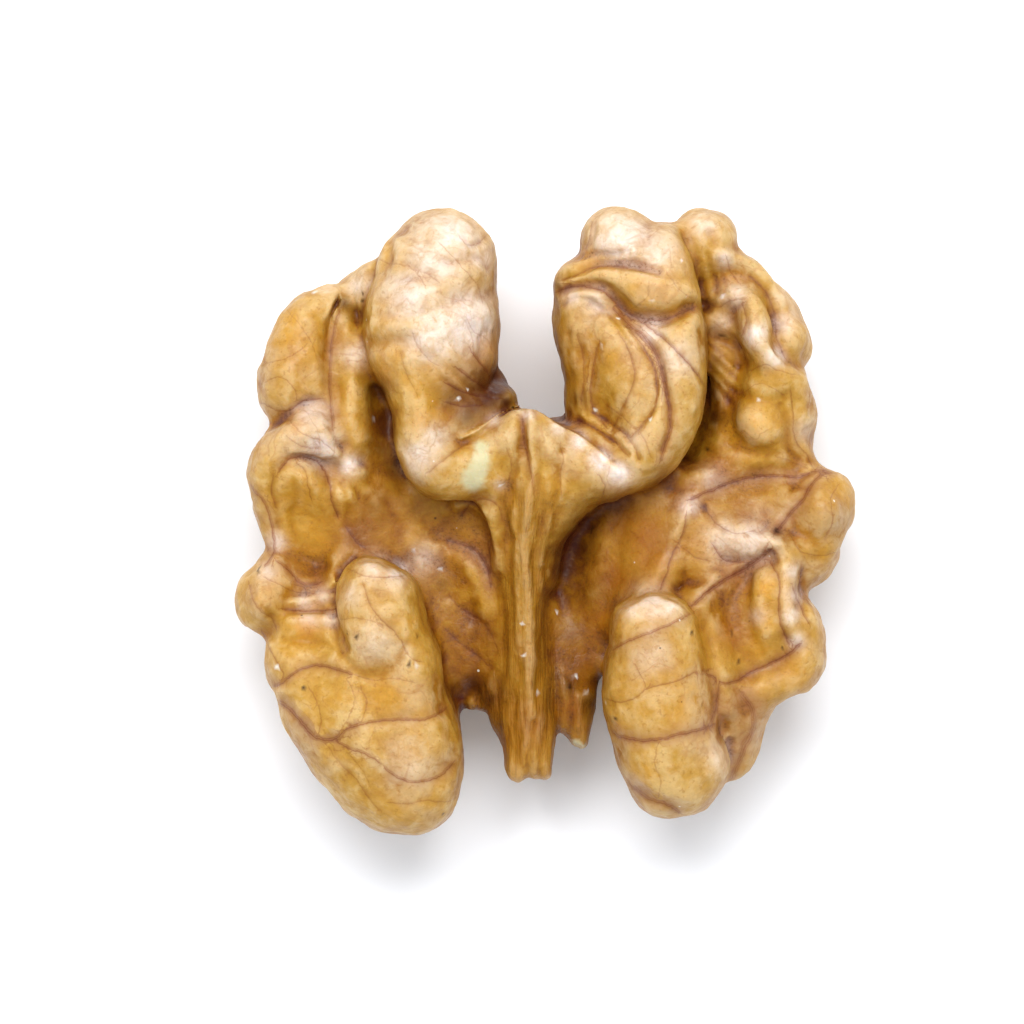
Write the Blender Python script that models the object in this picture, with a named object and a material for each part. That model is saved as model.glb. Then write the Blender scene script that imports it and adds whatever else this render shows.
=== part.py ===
"""Walnut kernel half: one grown piece, lying on its rounded outer side with its inner side up.

The folds of the kernel are beads strung along short curves. The beads are fused into one body, which is
then smoothed and creased, and thinned to a light mesh.
"""

import bmesh
import bpy
import numpy as np
from mathutils import Matrix

# Sizes are in millimetres and turned into metres where a mesh is written.
MM = 0.001
KERNEL_WIDTH = 31.2
KERNEL_LENGTH = 31.5
KERNEL_HEIGHT = 13.9

VOXEL = 0.2
BEAD_STEP = 0.3
SMOOTH_ROUNDS = 9
CREASE_ROUNDS = 2
FULLNESS = 0.7
FOOT_DEPTH = 0.35
FOOT_LEVELLING = 0.05
TRIANGLES = 11800
SKIN_COLOUR = (0.60, 0.36, 0.13, 1.0)

# Each fold is a list of points: x, y, height of its top, half width, half depth.
# X runs to the right and Y towards the open notch, as the inner side is seen from above.

CORE = {
    "left_core": [(-8.6, 9.0, 7.0, 3.4, 2.5), (-9.2, 3.5, 8.0, 4.6, 3.1), (-8.8, -2.5, 8.3, 4.9, 3.2),
                  (-8.6, -8.0, 9.2, 4.4, 3.7), (-7.6, -11.2, 9.0, 3.4, 3.2)],
    "right_core": [(7.6, 10.0, 7.0, 3.6, 2.5), (8.6, 4.5, 7.4, 4.2, 2.9), (9.0, -1.0, 8.8, 4.7, 3.6),
                   (8.2, -6.0, 9.2, 4.5, 3.7), (7.0, -10.2, 9.0, 3.2, 3.2)],
    "middle_web": [(-3.6, 2.0, 7.6, 2.6, 2.6), (-4.2, -3.0, 7.4, 2.3, 2.4), (-4.3, -6.4, 7.4, 1.9, 2.3)],
    "middle_web_right": [(2.6, 2.6, 7.2, 2.8, 2.7), (2.2, -1.5, 6.6, 2.3, 2.3), (2.0, -5.8, 7.0, 2.0, 2.3)],
    "left_shelf": [(-11.4, 9.4, 9.4, 1.7, 3.2), (-11.8, 6.0, 9.8, 2.1, 3.4), (-12.0, 2.0, 9.5, 2.1, 3.2),
                   (-12.1, -1.8, 8.9, 1.9, 3.0), (-11.9, -4.6, 9.7, 2.0, 3.2), (-11.2, -7.2, 10.6, 2.2, 3.6)],
    "left_shelf_inner": [(-10.3, 10.3, 8.8, 0.9, 2.8), (-10.4, 7.5, 9.7, 1.2, 3.0),
                         (-10.2, 4.8, 9.7, 1.2, 3.0), (-9.9, 2.6, 9.4, 1.2, 2.8)],
    "right_shelf": [(8.4, 12.9, 9.2, 1.4, 3.0), (10.2, 11.0, 9.5, 1.5, 3.2), (11.2, 8.4, 9.7, 1.6, 3.2),
                    (11.2, 5.6, 9.4, 1.7, 3.2), (11.4, 3.4, 9.0, 1.7, 3.0), (11.8, 1.4, 9.2, 1.8, 3.0),
                    (11.6, -0.8, 9.7, 1.7, 3.0), (11.3, -3.0, 10.1, 1.8, 3.2), (11.3, -5.4, 10.1, 1.8, 3.2),
                    (10.6, -7.6, 9.9, 1.6, 3.0)],
    "right_shelf_inner": [(9.3, 2.0, 9.3, 1.6, 3.0), (8.6, 0.0, 9.7, 1.7, 3.0), (8.5, -2.6, 9.9, 1.7, 3.0),
                          (9.3, -5.4, 9.9, 1.7, 3.0)],
    "notch_root": [(-3.6, 4.4, 8.0, 1.8, 2.6), (-0.8, 3.6, 8.6, 1.7, 3.0), (2.4, 3.8, 8.0, 1.8, 2.6)],
}

UPPER_LEFT = {
    "left_horn": [(-5.2, 12.95, 13.7, 2.8, 4.6), (-5.5, 11.6, 14.1, 3.05, 5.0),
                  (-5.75, 10.1, 14.3, 3.45, 5.0), (-5.75, 8.9, 14.2, 3.3, 4.8),
                  (-5.6, 7.7, 13.5, 2.7, 4.4)],
    "left_horn_shoulder": [(-6.9, 13.1, 13.1, 1.5, 3.6), (-7.2, 11.6, 13.5, 1.4, 3.6)],
    "left_horn_waist": [(-6.6, 7.2, 13.7, 1.6, 3.8), (-6.3, 5.4, 13.3, 1.35, 3.2),
                        (-6.0, 3.9, 13.2, 1.6, 3.0), (-5.3, 2.9, 13.0, 1.75, 2.8),
                        (-4.2, 2.75, 12.8, 1.5, 2.6), (-3.2, 3.2, 12.8, 1.5, 2.6),
                        (-2.2, 3.8, 12.9, 1.4, 2.6), (-1.2, 4.7, 13.1, 1.1, 2.6)],
    "left_horn_low": [(-4.6, 8.2, 13.5, 2.2, 4.2), (-5.2, 7.0, 13.2, 1.8, 3.6), (-5.4, 6.0, 12.9, 1.4, 3.2)],
    "left_pocket": [(-4.4, 7.0, 12.3, 1.7, 3.4), (-4.1, 6.4, 11.2, 1.4, 3.0), (-3.2, 6.4, 10.1, 1.1, 2.6),
                    (-2.4, 6.35, 9.5, 0.8, 2.4)],
    "left_pocket_floor": [(-5.0, 5.7, 11.5, 1.3, 3.0), (-3.9, 5.5, 10.7, 1.1, 3.0),
                          (-2.8, 5.8, 10.0, 0.9, 2.6)],
    "left_slot_floor": [(-8.8, 8.6, 8.8, 0.8, 2.8), (-8.55, 6.8, 8.9, 0.9, 2.8), (-8.5, 5.0, 9.0, 1.1, 2.8),
                        (-8.5, 3.4, 9.1, 1.3, 2.8)],
    "left_back_ear": [(-9.7, 11.3, 9.0, 1.0, 2.6), (-8.9, 11.8, 9.6, 1.1, 2.8), (-8.0, 12.6, 10.4, 1.0, 3.0)],
    "left_back_ear_foot": [(-9.3, 10.4, 8.6, 0.7, 2.0), (-9.1, 9.4, 7.6, 0.7, 2.0)],
}

UPPER_RIGHT = {
    "right_horn_tip": [(3.55, 14.0, 12.6, 1.9, 3.8), (4.2, 13.2, 13.1, 2.1, 4.2)],
    "right_horn_shoulder": [(5.7, 13.3, 13.0, 1.75, 3.8), (5.8, 12.6, 13.3, 1.75, 4.0)],
    "right_horn_brow": [(1.9, 11.7, 12.5, 1.6, 3.4), (3.4, 11.9, 13.3, 1.5, 3.6), (5.0, 11.5, 13.8, 1.5, 3.6),
                        (6.3, 11.1, 13.6, 1.5, 3.4)],
    "right_horn_side": [(1.7, 10.3, 12.2, 1.4, 3.4), (2.1, 8.8, 12.2, 1.6, 3.4), (2.5, 7.3, 12.1, 1.6, 3.2),
                        (3.2, 6.0, 12.2, 1.6, 3.0)],
    "right_horn_root": [(1.9, 6.6, 11.7, 1.0, 3.4), (2.0, 5.7, 11.7, 1.05, 3.4), (2.3, 4.8, 12.0, 1.1, 3.2),
                        (3.1, 4.1, 12.6, 1.2, 3.0)],
    "right_horn_body": [(4.0, 9.4, 13.2, 2.4, 4.2), (4.4, 8.0, 13.4, 2.5, 4.2), (4.6, 6.4, 13.4, 2.2, 3.8),
                        (4.7, 5.0, 13.3, 1.8, 3.2)],
    "right_horn_rim": [(6.3, 9.9, 13.6, 1.65, 3.6), (6.3, 8.4, 13.9, 1.7, 3.6), (6.25, 6.4, 13.9, 1.7, 3.6),
                       (5.8, 4.9, 13.8, 1.75, 3.2), (4.9, 3.7, 13.5, 1.75, 3.0), (3.8, 2.9, 13.1, 1.55, 2.8)],
}

BRIDGE = {
    "bridge_right": [(-0.9, 4.75, 13.1, 1.0, 2.6), (0.3, 3.7, 13.0, 1.3, 2.8), (1.6, 2.9, 12.9, 1.5, 2.8),
                     (2.9, 2.45, 12.9, 1.5, 2.8)],
    "bridge_left_face": [(-4.6, 2.6, 12.7, 1.5, 2.8), (-3.0, 2.6, 12.5, 1.4, 2.8),
                         (-1.4, 2.6, 12.6, 1.6, 3.0)],
    "bridge_face": [(-0.8, 3.2, 12.8, 1.7, 3.0), (0.4, 2.2, 12.6, 1.6, 2.8), (1.8, 1.95, 12.5, 1.2, 2.6)],
    "stem": [(-0.8, 2.6, 12.5, 2.1, 3.6), (-0.9, 1.2, 12.2, 1.9, 4.0), (-1.05, -0.6, 11.6, 1.45, 4.0),
             (-1.15, -3.5, 10.8, 1.15, 3.8), (-1.1, -7.0, 10.0, 1.15, 3.4), (-0.85, -10.0, 9.4, 1.35, 2.7),
             (-0.8, -11.4, 9.0, 1.25, 2.2)],
    "stem_finger_left": [(-1.6, -10.6, 8.6, 0.55, 1.6), (-1.8, -12.35, 8.4, 0.42, 1.0)],
    "stem_finger_middle": [(-1.3, -10.8, 8.9, 0.55, 1.6), (-1.4, -12.75, 8.6, 0.38, 1.0)],
    "stem_finger_right": [(-0.3, -10.6, 8.9, 0.6, 1.6), (-0.15, -12.5, 8.6, 0.5, 1.1)],
    "stem_wing_left": [(-2.6, 1.7, 11.8, 1.0, 3.2), (-2.3, 0.5, 11.0, 0.95, 3.2),
                       (-2.0, -1.0, 10.3, 0.85, 3.2), (-1.8, -3.0, 9.8, 0.8, 3.0)],
    "stem_wing_right": [(1.6, 1.6, 12.0, 1.2, 3.2), (0.8, 0.6, 11.5, 1.05, 3.2), (0.1, -0.8, 10.8, 0.85, 3.2),
                        (-0.2, -2.8, 10.0, 0.7, 3.0)],
    "stem_root_left": [(-2.8, -1.0, 8.4, 1.2, 2.6), (-2.6, -4.2, 8.7, 1.25, 2.8), (-2.5, -7.2, 8.4, 1.2, 2.6),
                       (-1.95, -9.6, 8.1, 0.95, 2.2), (-1.6, -11.0, 8.0, 0.7, 1.6)],
    "stem_root_right": [(-0.1, -4.4, 7.9, 1.2, 2.6), (0.7, -6.6, 8.1, 1.45, 2.4), (1.2, -8.2, 7.9, 1.4, 2.2),
                        (1.5, -9.6, 7.4, 0.95, 1.6), (1.7, -11.0, 6.8, 0.45, 0.9)],
    "valley_plate": [(-3.9, 0.7, 8.9, 1.25, 2.6), (-3.7, -1.2, 8.7, 1.25, 2.6), (-3.5, -3.2, 8.6, 1.1, 2.6)],
    "valley_left": [(-6.2, -0.8, 8.8, 1.6, 2.6), (-5.3, -2.6, 8.4, 1.5, 2.6), (-4.7, -4.6, 8.3, 1.5, 2.6),
                    (-4.3, -6.2, 8.2, 1.4, 2.4), (-4.1, -7.3, 7.9, 1.1, 2.2)],
    "valley_right_high": [(5.8, 2.6, 9.6, 1.2, 2.8), (5.4, 1.2, 9.7, 1.5, 2.8), (5.2, -0.4, 9.9, 1.5, 2.8),
                          (4.8, -2.0, 9.9, 1.4, 2.8), (4.3, -3.4, 9.6, 1.2, 2.8)],
    "valley_right": [(3.8, 1.5, 8.8, 1.4, 2.6), (3.5, -0.2, 8.9, 1.4, 2.6), (3.2, -1.8, 8.8, 1.4, 2.6),
                     (2.9, -3.4, 8.6, 1.3, 2.6), (2.8, -5.0, 8.4, 1.0, 2.4)],
    "valley_right_low": [(2.1, 0.8, 8.0, 1.2, 2.4), (1.7, -0.8, 7.6, 1.2, 2.4), (1.4, -2.4, 7.3, 1.1, 2.2),
                         (1.7, -4.0, 7.6, 1.1, 2.2), (2.1, -5.6, 7.8, 1.1, 2.2), (2.3, -6.8, 7.8, 1.0, 2.2)],
}

OUTER_LEFT = {
    "left_leaf_outer": [(-10.95, 11.1, 10.1, 1.05, 2.4), (-12.0, 10.0, 10.7, 1.35, 2.8),
                        (-12.35, 8.6, 11.0, 1.65, 3.0), (-12.75, 7.0, 10.9, 1.8, 3.0),
                        (-12.6, 6.0, 10.5, 1.7, 2.8)],
    "left_leaf_fill": [(-11.6, 9.2, 10.6, 0.9, 2.6), (-11.6, 6.6, 10.7, 0.95, 2.6)],
    "left_leaf_inner": [(-10.0, 9.9, 9.7, 0.6, 2.2), (-9.75, 8.4, 10.4, 0.85, 2.4),
                        (-9.7, 6.5, 10.5, 0.95, 2.4), (-9.6, 4.6, 10.4, 1.05, 2.4),
                        (-9.4, 3.3, 9.9, 0.95, 2.2)],
    "left_brow": [(-11.5, 4.7, 11.4, 1.15, 2.6), (-12.4, 4.4, 11.5, 1.3, 2.8), (-13.3, 3.3, 11.1, 1.4, 2.8),
                  (-13.7, 2.2, 10.6, 1.35, 2.8), (-13.5, 0.8, 10.0, 1.15, 2.6),
                  (-13.4, -0.6, 9.4, 0.95, 2.4)],
    "left_brow_ridge": [(-11.0, 4.2, 11.1, 0.9, 2.4), (-10.2, 3.4, 10.5, 0.75, 2.2),
                        (-9.5, 2.7, 9.8, 0.7, 2.0)],
    "left_mid_lobe": [(-12.3, 2.5, 10.7, 1.0, 2.4), (-11.6, 1.6, 10.2, 1.1, 2.4), (-11.7, 0.3, 9.5, 1.3, 2.4),
                      (-11.8, -1.2, 8.9, 1.4, 2.4), (-11.6, -2.6, 8.4, 1.2, 2.2)],
    "left_slope": [(-10.3, 1.3, 9.8, 1.5, 2.8), (-9.7, -0.2, 9.5, 1.6, 2.8), (-8.5, -0.6, 9.2, 1.6, 2.8),
                   (-7.3, -0.8, 8.9, 1.6, 2.6)],
    "left_slope_top": [(-8.9, 2.4, 9.3, 1.4, 2.8), (-7.9, 1.2, 9.1, 1.5, 2.8), (-6.6, 0.6, 8.9, 1.6, 2.6),
                       (-5.3, 0.5, 8.7, 1.5, 2.6)],
    "left_waist": [(-13.2, -0.6, 9.0, 1.05, 2.4), (-13.2, -2.2, 9.2, 1.0, 2.4)],
    "left_knob": [(-14.35, -3.3, 9.4, 1.15, 2.2), (-14.35, -4.2, 9.6, 1.25, 2.3),
                  (-14.0, -5.0, 9.2, 0.85, 2.0)],
    "left_knob_fold": [(-14.2, -2.7, 9.5, 0.65, 1.8), (-13.3, -2.7, 9.6, 0.6, 1.8),
                       (-12.6, -3.3, 9.4, 0.7, 1.8), (-11.4, -3.6, 9.5, 0.65, 1.8),
                       (-10.6, -3.5, 9.6, 0.6, 1.8)],
    "left_step": [(-13.0, -5.2, 10.4, 0.7, 2.2), (-11.8, -5.3, 10.7, 0.8, 2.2),
                  (-10.4, -5.4, 11.0, 0.9, 2.2)],
    "left_side": [(-13.2, -5.6, 9.8, 1.0, 2.6), (-12.5, -6.8, 10.7, 1.6, 3.0), (-11.2, -6.8, 11.2, 1.4, 3.0)],
}

LOWER_LEFT = {
    "left_pad": [(-8.8, -3.35, 13.3, 1.75, 3.6), (-8.7, -4.5, 13.4, 1.95, 3.8),
                 (-8.5, -5.6, 13.4, 1.95, 3.8)],
    "left_pad_right": [(-7.95, -3.8, 13.3, 1.8, 3.8), (-7.6, -5.4, 13.2, 1.8, 3.8)],
    "left_pad_apron": [(-9.8, -1.3, 9.6, 1.3, 2.8), (-10.4, -2.5, 9.8, 1.2, 2.8),
                       (-10.3, -3.8, 10.4, 1.1, 2.8), (-10.2, -5.0, 11.2, 1.2, 3.0),
                       (-10.0, -6.3, 12.0, 1.4, 3.2)],
    "left_pad_body": [(-7.2, -6.8, 13.0, 2.0, 4.0), (-7.1, -8.6, 12.9, 2.1, 4.2),
                      (-6.7, -10.5, 12.8, 2.4, 4.4), (-6.5, -12.2, 12.4, 2.45, 4.4),
                      (-6.7, -13.2, 11.9, 2.45, 4.2)],
    "left_flank": [(-12.2, -7.6, 11.2, 1.7, 3.6), (-11.5, -9.2, 11.6, 1.9, 3.8),
                   (-10.2, -10.9, 11.8, 2.1, 4.0), (-8.9, -12.4, 11.7, 2.3, 4.2),
                   (-7.6, -13.2, 11.6, 2.4, 4.2)],
    "left_flank_fill": [(-9.3, -6.9, 12.6, 1.9, 3.6), (-9.6, -8.2, 12.4, 2.2, 3.8),
                        (-9.3, -9.6, 12.6, 2.3, 3.8), (-8.4, -11.2, 12.5, 2.3, 4.0)],
}

OUTER_RIGHT = {
    "right_crown_knob": [(7.4, 14.1, 10.9, 1.5, 3.2), (8.0, 14.15, 10.9, 1.6, 3.2),
                         (8.3, 13.4, 10.4, 1.2, 2.8)],
    "right_outer_fold": [(8.8, 13.1, 10.3, 0.8, 2.6), (9.7, 12.6, 10.0, 0.95, 2.6),
                         (11.2, 11.0, 9.8, 1.1, 2.6), (11.9, 9.9, 9.4, 1.1, 2.6),
                         (12.2, 8.7, 9.2, 1.15, 2.6), (12.1, 8.0, 8.9, 1.0, 2.4)],
    "right_crest": [(8.6, 11.2, 10.2, 0.75, 2.4), (9.6, 11.4, 10.7, 0.85, 2.4), (10.2, 10.6, 11.2, 0.85, 2.6),
                    (10.5, 9.4, 11.5, 0.95, 2.6), (11.1, 8.2, 11.4, 1.0, 2.6), (12.0, 7.1, 10.6, 1.2, 2.8),
                    (12.2, 6.3, 10.1, 1.15, 2.6)],
    "right_crown_fill": [(8.4, 12.2, 9.4, 0.9, 2.4), (9.9, 11.8, 9.8, 0.9, 2.4)],
    "right_shelf": [(8.6, 10.3, 9.8, 0.8, 2.4), (9.2, 9.6, 9.6, 0.9, 2.4), (9.8, 8.2, 9.0, 0.8, 2.4)],
    "right_bulge": [(10.9, 6.8, 10.8, 1.4, 2.8), (10.6, 5.0, 10.7, 1.25, 2.6), (10.7, 4.6, 10.5, 1.25, 2.6)],
    "right_waist": [(11.9, 5.2, 10.0, 1.3, 2.8), (12.0, 3.9, 9.4, 1.25, 2.8), (12.6, 2.8, 9.0, 1.2, 2.6)],
    "right_gully": [(8.5, 9.0, 9.3, 1.0, 2.8), (9.0, 7.4, 9.3, 1.1, 2.8), (9.0, 5.4, 9.0, 1.1, 2.8),
                    (8.7, 3.8, 8.9, 1.2, 2.8), (8.0, 2.8, 8.9, 1.2, 2.8)],
    "right_low_roll": [(9.2, 3.3, 9.6, 0.9, 2.4), (10.4, 3.0, 9.6, 0.9, 2.4), (11.6, 3.0, 9.5, 0.8, 2.4)],
    "right_ear": [(13.3, 2.2, 9.3, 1.05, 2.6), (14.1, 1.45, 9.5, 1.35, 2.8), (14.15, 0.5, 9.5, 1.35, 2.8),
                  (13.5, -0.9, 9.3, 1.45, 2.8), (13.1, -2.3, 9.0, 1.2, 2.6)],
    "right_table": [(7.3, 1.5, 10.0, 0.9, 2.6), (8.3, 0.6, 10.1, 1.3, 2.6), (10.0, 0.8, 9.9, 1.4, 2.6),
                    (11.7, 1.1, 9.8, 1.2, 2.6)],
    "right_table_top": [(7.0, 2.1, 9.9, 0.9, 2.6), (8.3, 2.4, 9.9, 0.7, 2.4)],
    "right_table_edge": [(6.8, 0.8, 10.4, 1.0, 2.8), (6.4, -0.8, 10.5, 1.1, 2.8), (6.0, -2.2, 10.6, 1.1, 2.8),
                         (5.2, -3.1, 10.7, 1.0, 2.8)],
    "right_plateau": [(7.9, -0.6, 10.4, 1.4, 2.8), (7.7, -2.0, 10.4, 1.5, 2.8), (8.0, -3.2, 10.2, 1.4, 2.8)],
    "right_lens": [(8.8, -0.7, 10.6, 1.25, 2.6), (10.1, -0.8, 10.8, 1.2, 2.6), (10.9, -0.7, 10.7, 0.9, 2.6)],
    "right_spur": [(11.7, -1.1, 11.0, 0.8, 2.8), (12.1, -2.0, 11.0, 0.8, 2.8), (11.8, -3.4, 11.0, 0.8, 2.8),
                   (12.2, -4.8, 11.0, 0.8, 2.8), (12.5, -5.6, 10.9, 0.8, 2.8)],
    "right_spur_inner": [(10.9, -2.8, 10.7, 0.9, 2.6), (10.7, -4.2, 10.7, 1.0, 2.6),
                         (11.1, -5.6, 10.6, 1.0, 2.6)],
    "right_hip": [(12.9, -4.4, 10.1, 0.75, 2.4), (13.0, -5.8, 10.3, 1.0, 2.6), (12.8, -6.9, 10.3, 1.2, 2.8),
                  (12.3, -7.6, 10.3, 1.2, 2.8), (10.8, -8.1, 10.3, 1.3, 2.8), (9.6, -8.9, 10.2, 1.2, 2.8)],
}

LOWER_RIGHT = {
    "right_pad_head": [(4.6, -5.1, 13.2, 1.5, 3.6), (5.4, -4.9, 13.2, 1.6, 3.6), (6.3, -5.2, 13.2, 1.5, 3.6)],
    "right_pad": [(5.2, -5.4, 13.3, 1.95, 3.8), (5.5, -6.6, 13.4, 2.5, 4.0), (5.5, -8.2, 13.5, 2.85, 4.2),
                  (5.8, -9.8, 13.4, 2.75, 4.2), (6.1, -11.4, 13.1, 2.65, 4.2), (6.4, -12.3, 12.7, 2.5, 4.2)],
    "right_pad_toe": [(7.3, -12.0, 12.5, 1.95, 3.8), (6.0, -13.0, 12.3, 1.8, 3.6)],
    "right_flank": [(9.6, -10.2, 9.7, 1.3, 2.8), (9.5, -11.3, 9.3, 1.2, 2.8), (9.3, -12.1, 8.9, 1.05, 2.6)],
    "right_saddle": [(8.7, -3.9, 10.1, 1.4, 2.8), (9.2, -5.2, 10.1, 1.5, 2.8), (9.2, -6.8, 10.2, 1.4, 2.8),
                     (9.0, -8.4, 10.2, 1.3, 2.8), (9.0, -9.8, 10.0, 1.2, 2.8)],
}

# Folds of the rounded outer side, from the rim round to the middle furrow. Here the height is the
# bottom of the fold, and the beads sit above it.
UNDERSIDE = {
    "under_left_horn": [(-5.2, 13.4, 5.2, 2.0, 2.8), (-5.9, 11.4, 2.9, 1.9, 2.6), (-5.0, 9.2, 1.7, 1.7, 2.2),
                        (-3.9, 7.2, 1.3, 1.5, 2.0), (-3.2, 5.2, 1.3, 1.4, 2.0)],
    "under_left_ear": [(-8.6, 11.2, 5.0, 1.2, 2.2), (-8.2, 9.6, 2.9, 1.3, 2.0), (-7.4, 8.0, 1.7, 1.4, 2.0),
                       (-6.4, 6.2, 0.9, 1.4, 2.0), (-4.6, 4.6, 0.8, 1.4, 1.8), (-3.0, 2.6, 1.1, 1.2, 1.8)],
    "under_left_leaf": [(-12.4, 8.4, 5.6, 1.5, 2.4), (-11.0, 7.4, 3.2, 1.5, 2.2), (-9.6, 5.4, 1.6, 1.5, 2.0),
                        (-8.0, 4.2, 0.6, 1.5, 2.0), (-6.0, 2.8, 0.1, 1.4, 2.0), (-4.2, 0.8, 0.3, 1.3, 1.8)],
    "under_left_brow": [(-13.4, 3.0, 5.6, 1.4, 2.4), (-12.2, 3.8, 3.8, 1.4, 2.2), (-11.4, 1.6, 2.2, 1.4, 2.0),
                        (-9.4, 1.0, 0.8, 1.5, 2.0), (-7.2, -0.4, 0.0, 1.5, 2.0), (-5.2, -2.4, 0.1, 1.4, 1.8)],
    "under_left_knob": [(-14.0, -3.9, 6.4, 1.2, 2.2), (-13.0, -1.6, 4.2, 1.3, 2.2),
                        (-11.6, -1.6, 2.6, 1.4, 2.0), (-10.4, -3.4, 1.6, 1.4, 2.0),
                        (-8.4, -3.6, 0.4, 1.5, 2.0), (-6.2, -5.2, 0.2, 1.4, 1.8),
                        (-4.4, -6.8, 1.0, 1.2, 1.8)],
    "under_left_side": [(-12.6, -7.2, 5.6, 1.6, 2.6), (-12.2, -5.2, 3.8, 1.4, 2.4),
                        (-10.8, -6.0, 2.2, 1.4, 2.0), (-9.0, -6.4, 1.1, 1.4, 2.0),
                        (-7.4, -8.0, 0.8, 1.4, 2.0), (-5.8, -9.6, 1.3, 1.4, 2.0)],
    "under_left_foot": [(-10.8, -10.4, 5.4, 1.7, 2.8), (-10.2, -8.4, 3.0, 1.5, 2.4),
                        (-8.8, -9.8, 2.2, 1.5, 2.2), (-7.6, -11.6, 2.4, 1.6, 2.4),
                        (-6.2, -12.9, 4.2, 1.9, 3.0)],
    "under_left_heel": [(-8.6, -12.8, 5.4, 1.8, 3.0), (-7.2, -13.4, 5.2, 2.0, 3.2)],
    "under_right_horn": [(4.0, 13.6, 5.2, 1.9, 2.8), (4.8, 11.6, 2.9, 1.8, 2.6), (3.9, 9.2, 1.7, 1.6, 2.2),
                         (2.8, 7.2, 1.3, 1.5, 2.0), (2.2, 5.0, 1.3, 1.4, 2.0)],
    "under_right_crown": [(8.0, 13.2, 5.6, 1.5, 2.6), (8.2, 11.2, 3.2, 1.5, 2.2), (6.8, 9.4, 1.8, 1.5, 2.0),
                          (6.0, 7.2, 0.9, 1.5, 2.0), (4.6, 5.2, 0.7, 1.4, 1.8), (3.2, 3.0, 1.0, 1.2, 1.8)],
    "under_right_fold": [(12.0, 9.2, 5.8, 1.2, 2.4), (11.0, 8.6, 3.8, 1.4, 2.2), (9.4, 7.4, 2.0, 1.5, 2.0),
                         (8.8, 5.2, 0.9, 1.5, 2.0), (6.8, 3.6, 0.1, 1.4, 2.0), (4.8, 1.4, 0.2, 1.4, 1.8)],
    "under_right_waist": [(12.2, 5.4, 5.2, 1.4, 2.4), (11.4, 3.6, 2.8, 1.4, 2.0), (9.8, 2.4, 1.2, 1.4, 2.0),
                          (7.8, 0.8, 0.1, 1.5, 2.0), (5.8, -1.2, 0.0, 1.4, 1.8), (3.8, -2.4, 0.6, 1.2, 1.8)],
    "under_right_ear": [(13.7, 0.6, 6.0, 1.4, 2.4), (12.6, -1.4, 4.0, 1.4, 2.2), (11.0, -0.6, 2.2, 1.4, 2.0),
                        (9.4, -2.0, 1.0, 1.5, 2.0), (7.6, -3.4, 0.3, 1.5, 2.0), (5.4, -5.0, 0.4, 1.4, 1.8)],
    "under_right_hip": [(12.6, -6.4, 5.8, 1.4, 2.4), (12.0, -4.2, 3.8, 1.4, 2.2), (10.4, -4.6, 2.2, 1.4, 2.0),
                        (8.8, -6.0, 1.3, 1.5, 2.0), (6.8, -7.4, 0.9, 1.5, 2.0), (5.0, -8.8, 1.3, 1.3, 2.0)],
    "under_right_flank": [(10.2, -8.6, 4.6, 1.4, 2.6), (9.4, -10.2, 4.6, 1.3, 2.6),
                          (8.0, -9.4, 2.6, 1.5, 2.4), (7.2, -11.0, 2.6, 1.6, 2.4),
                          (5.8, -10.8, 2.4, 1.5, 2.4), (5.9, -12.6, 4.4, 1.8, 3.0)],
}


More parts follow.
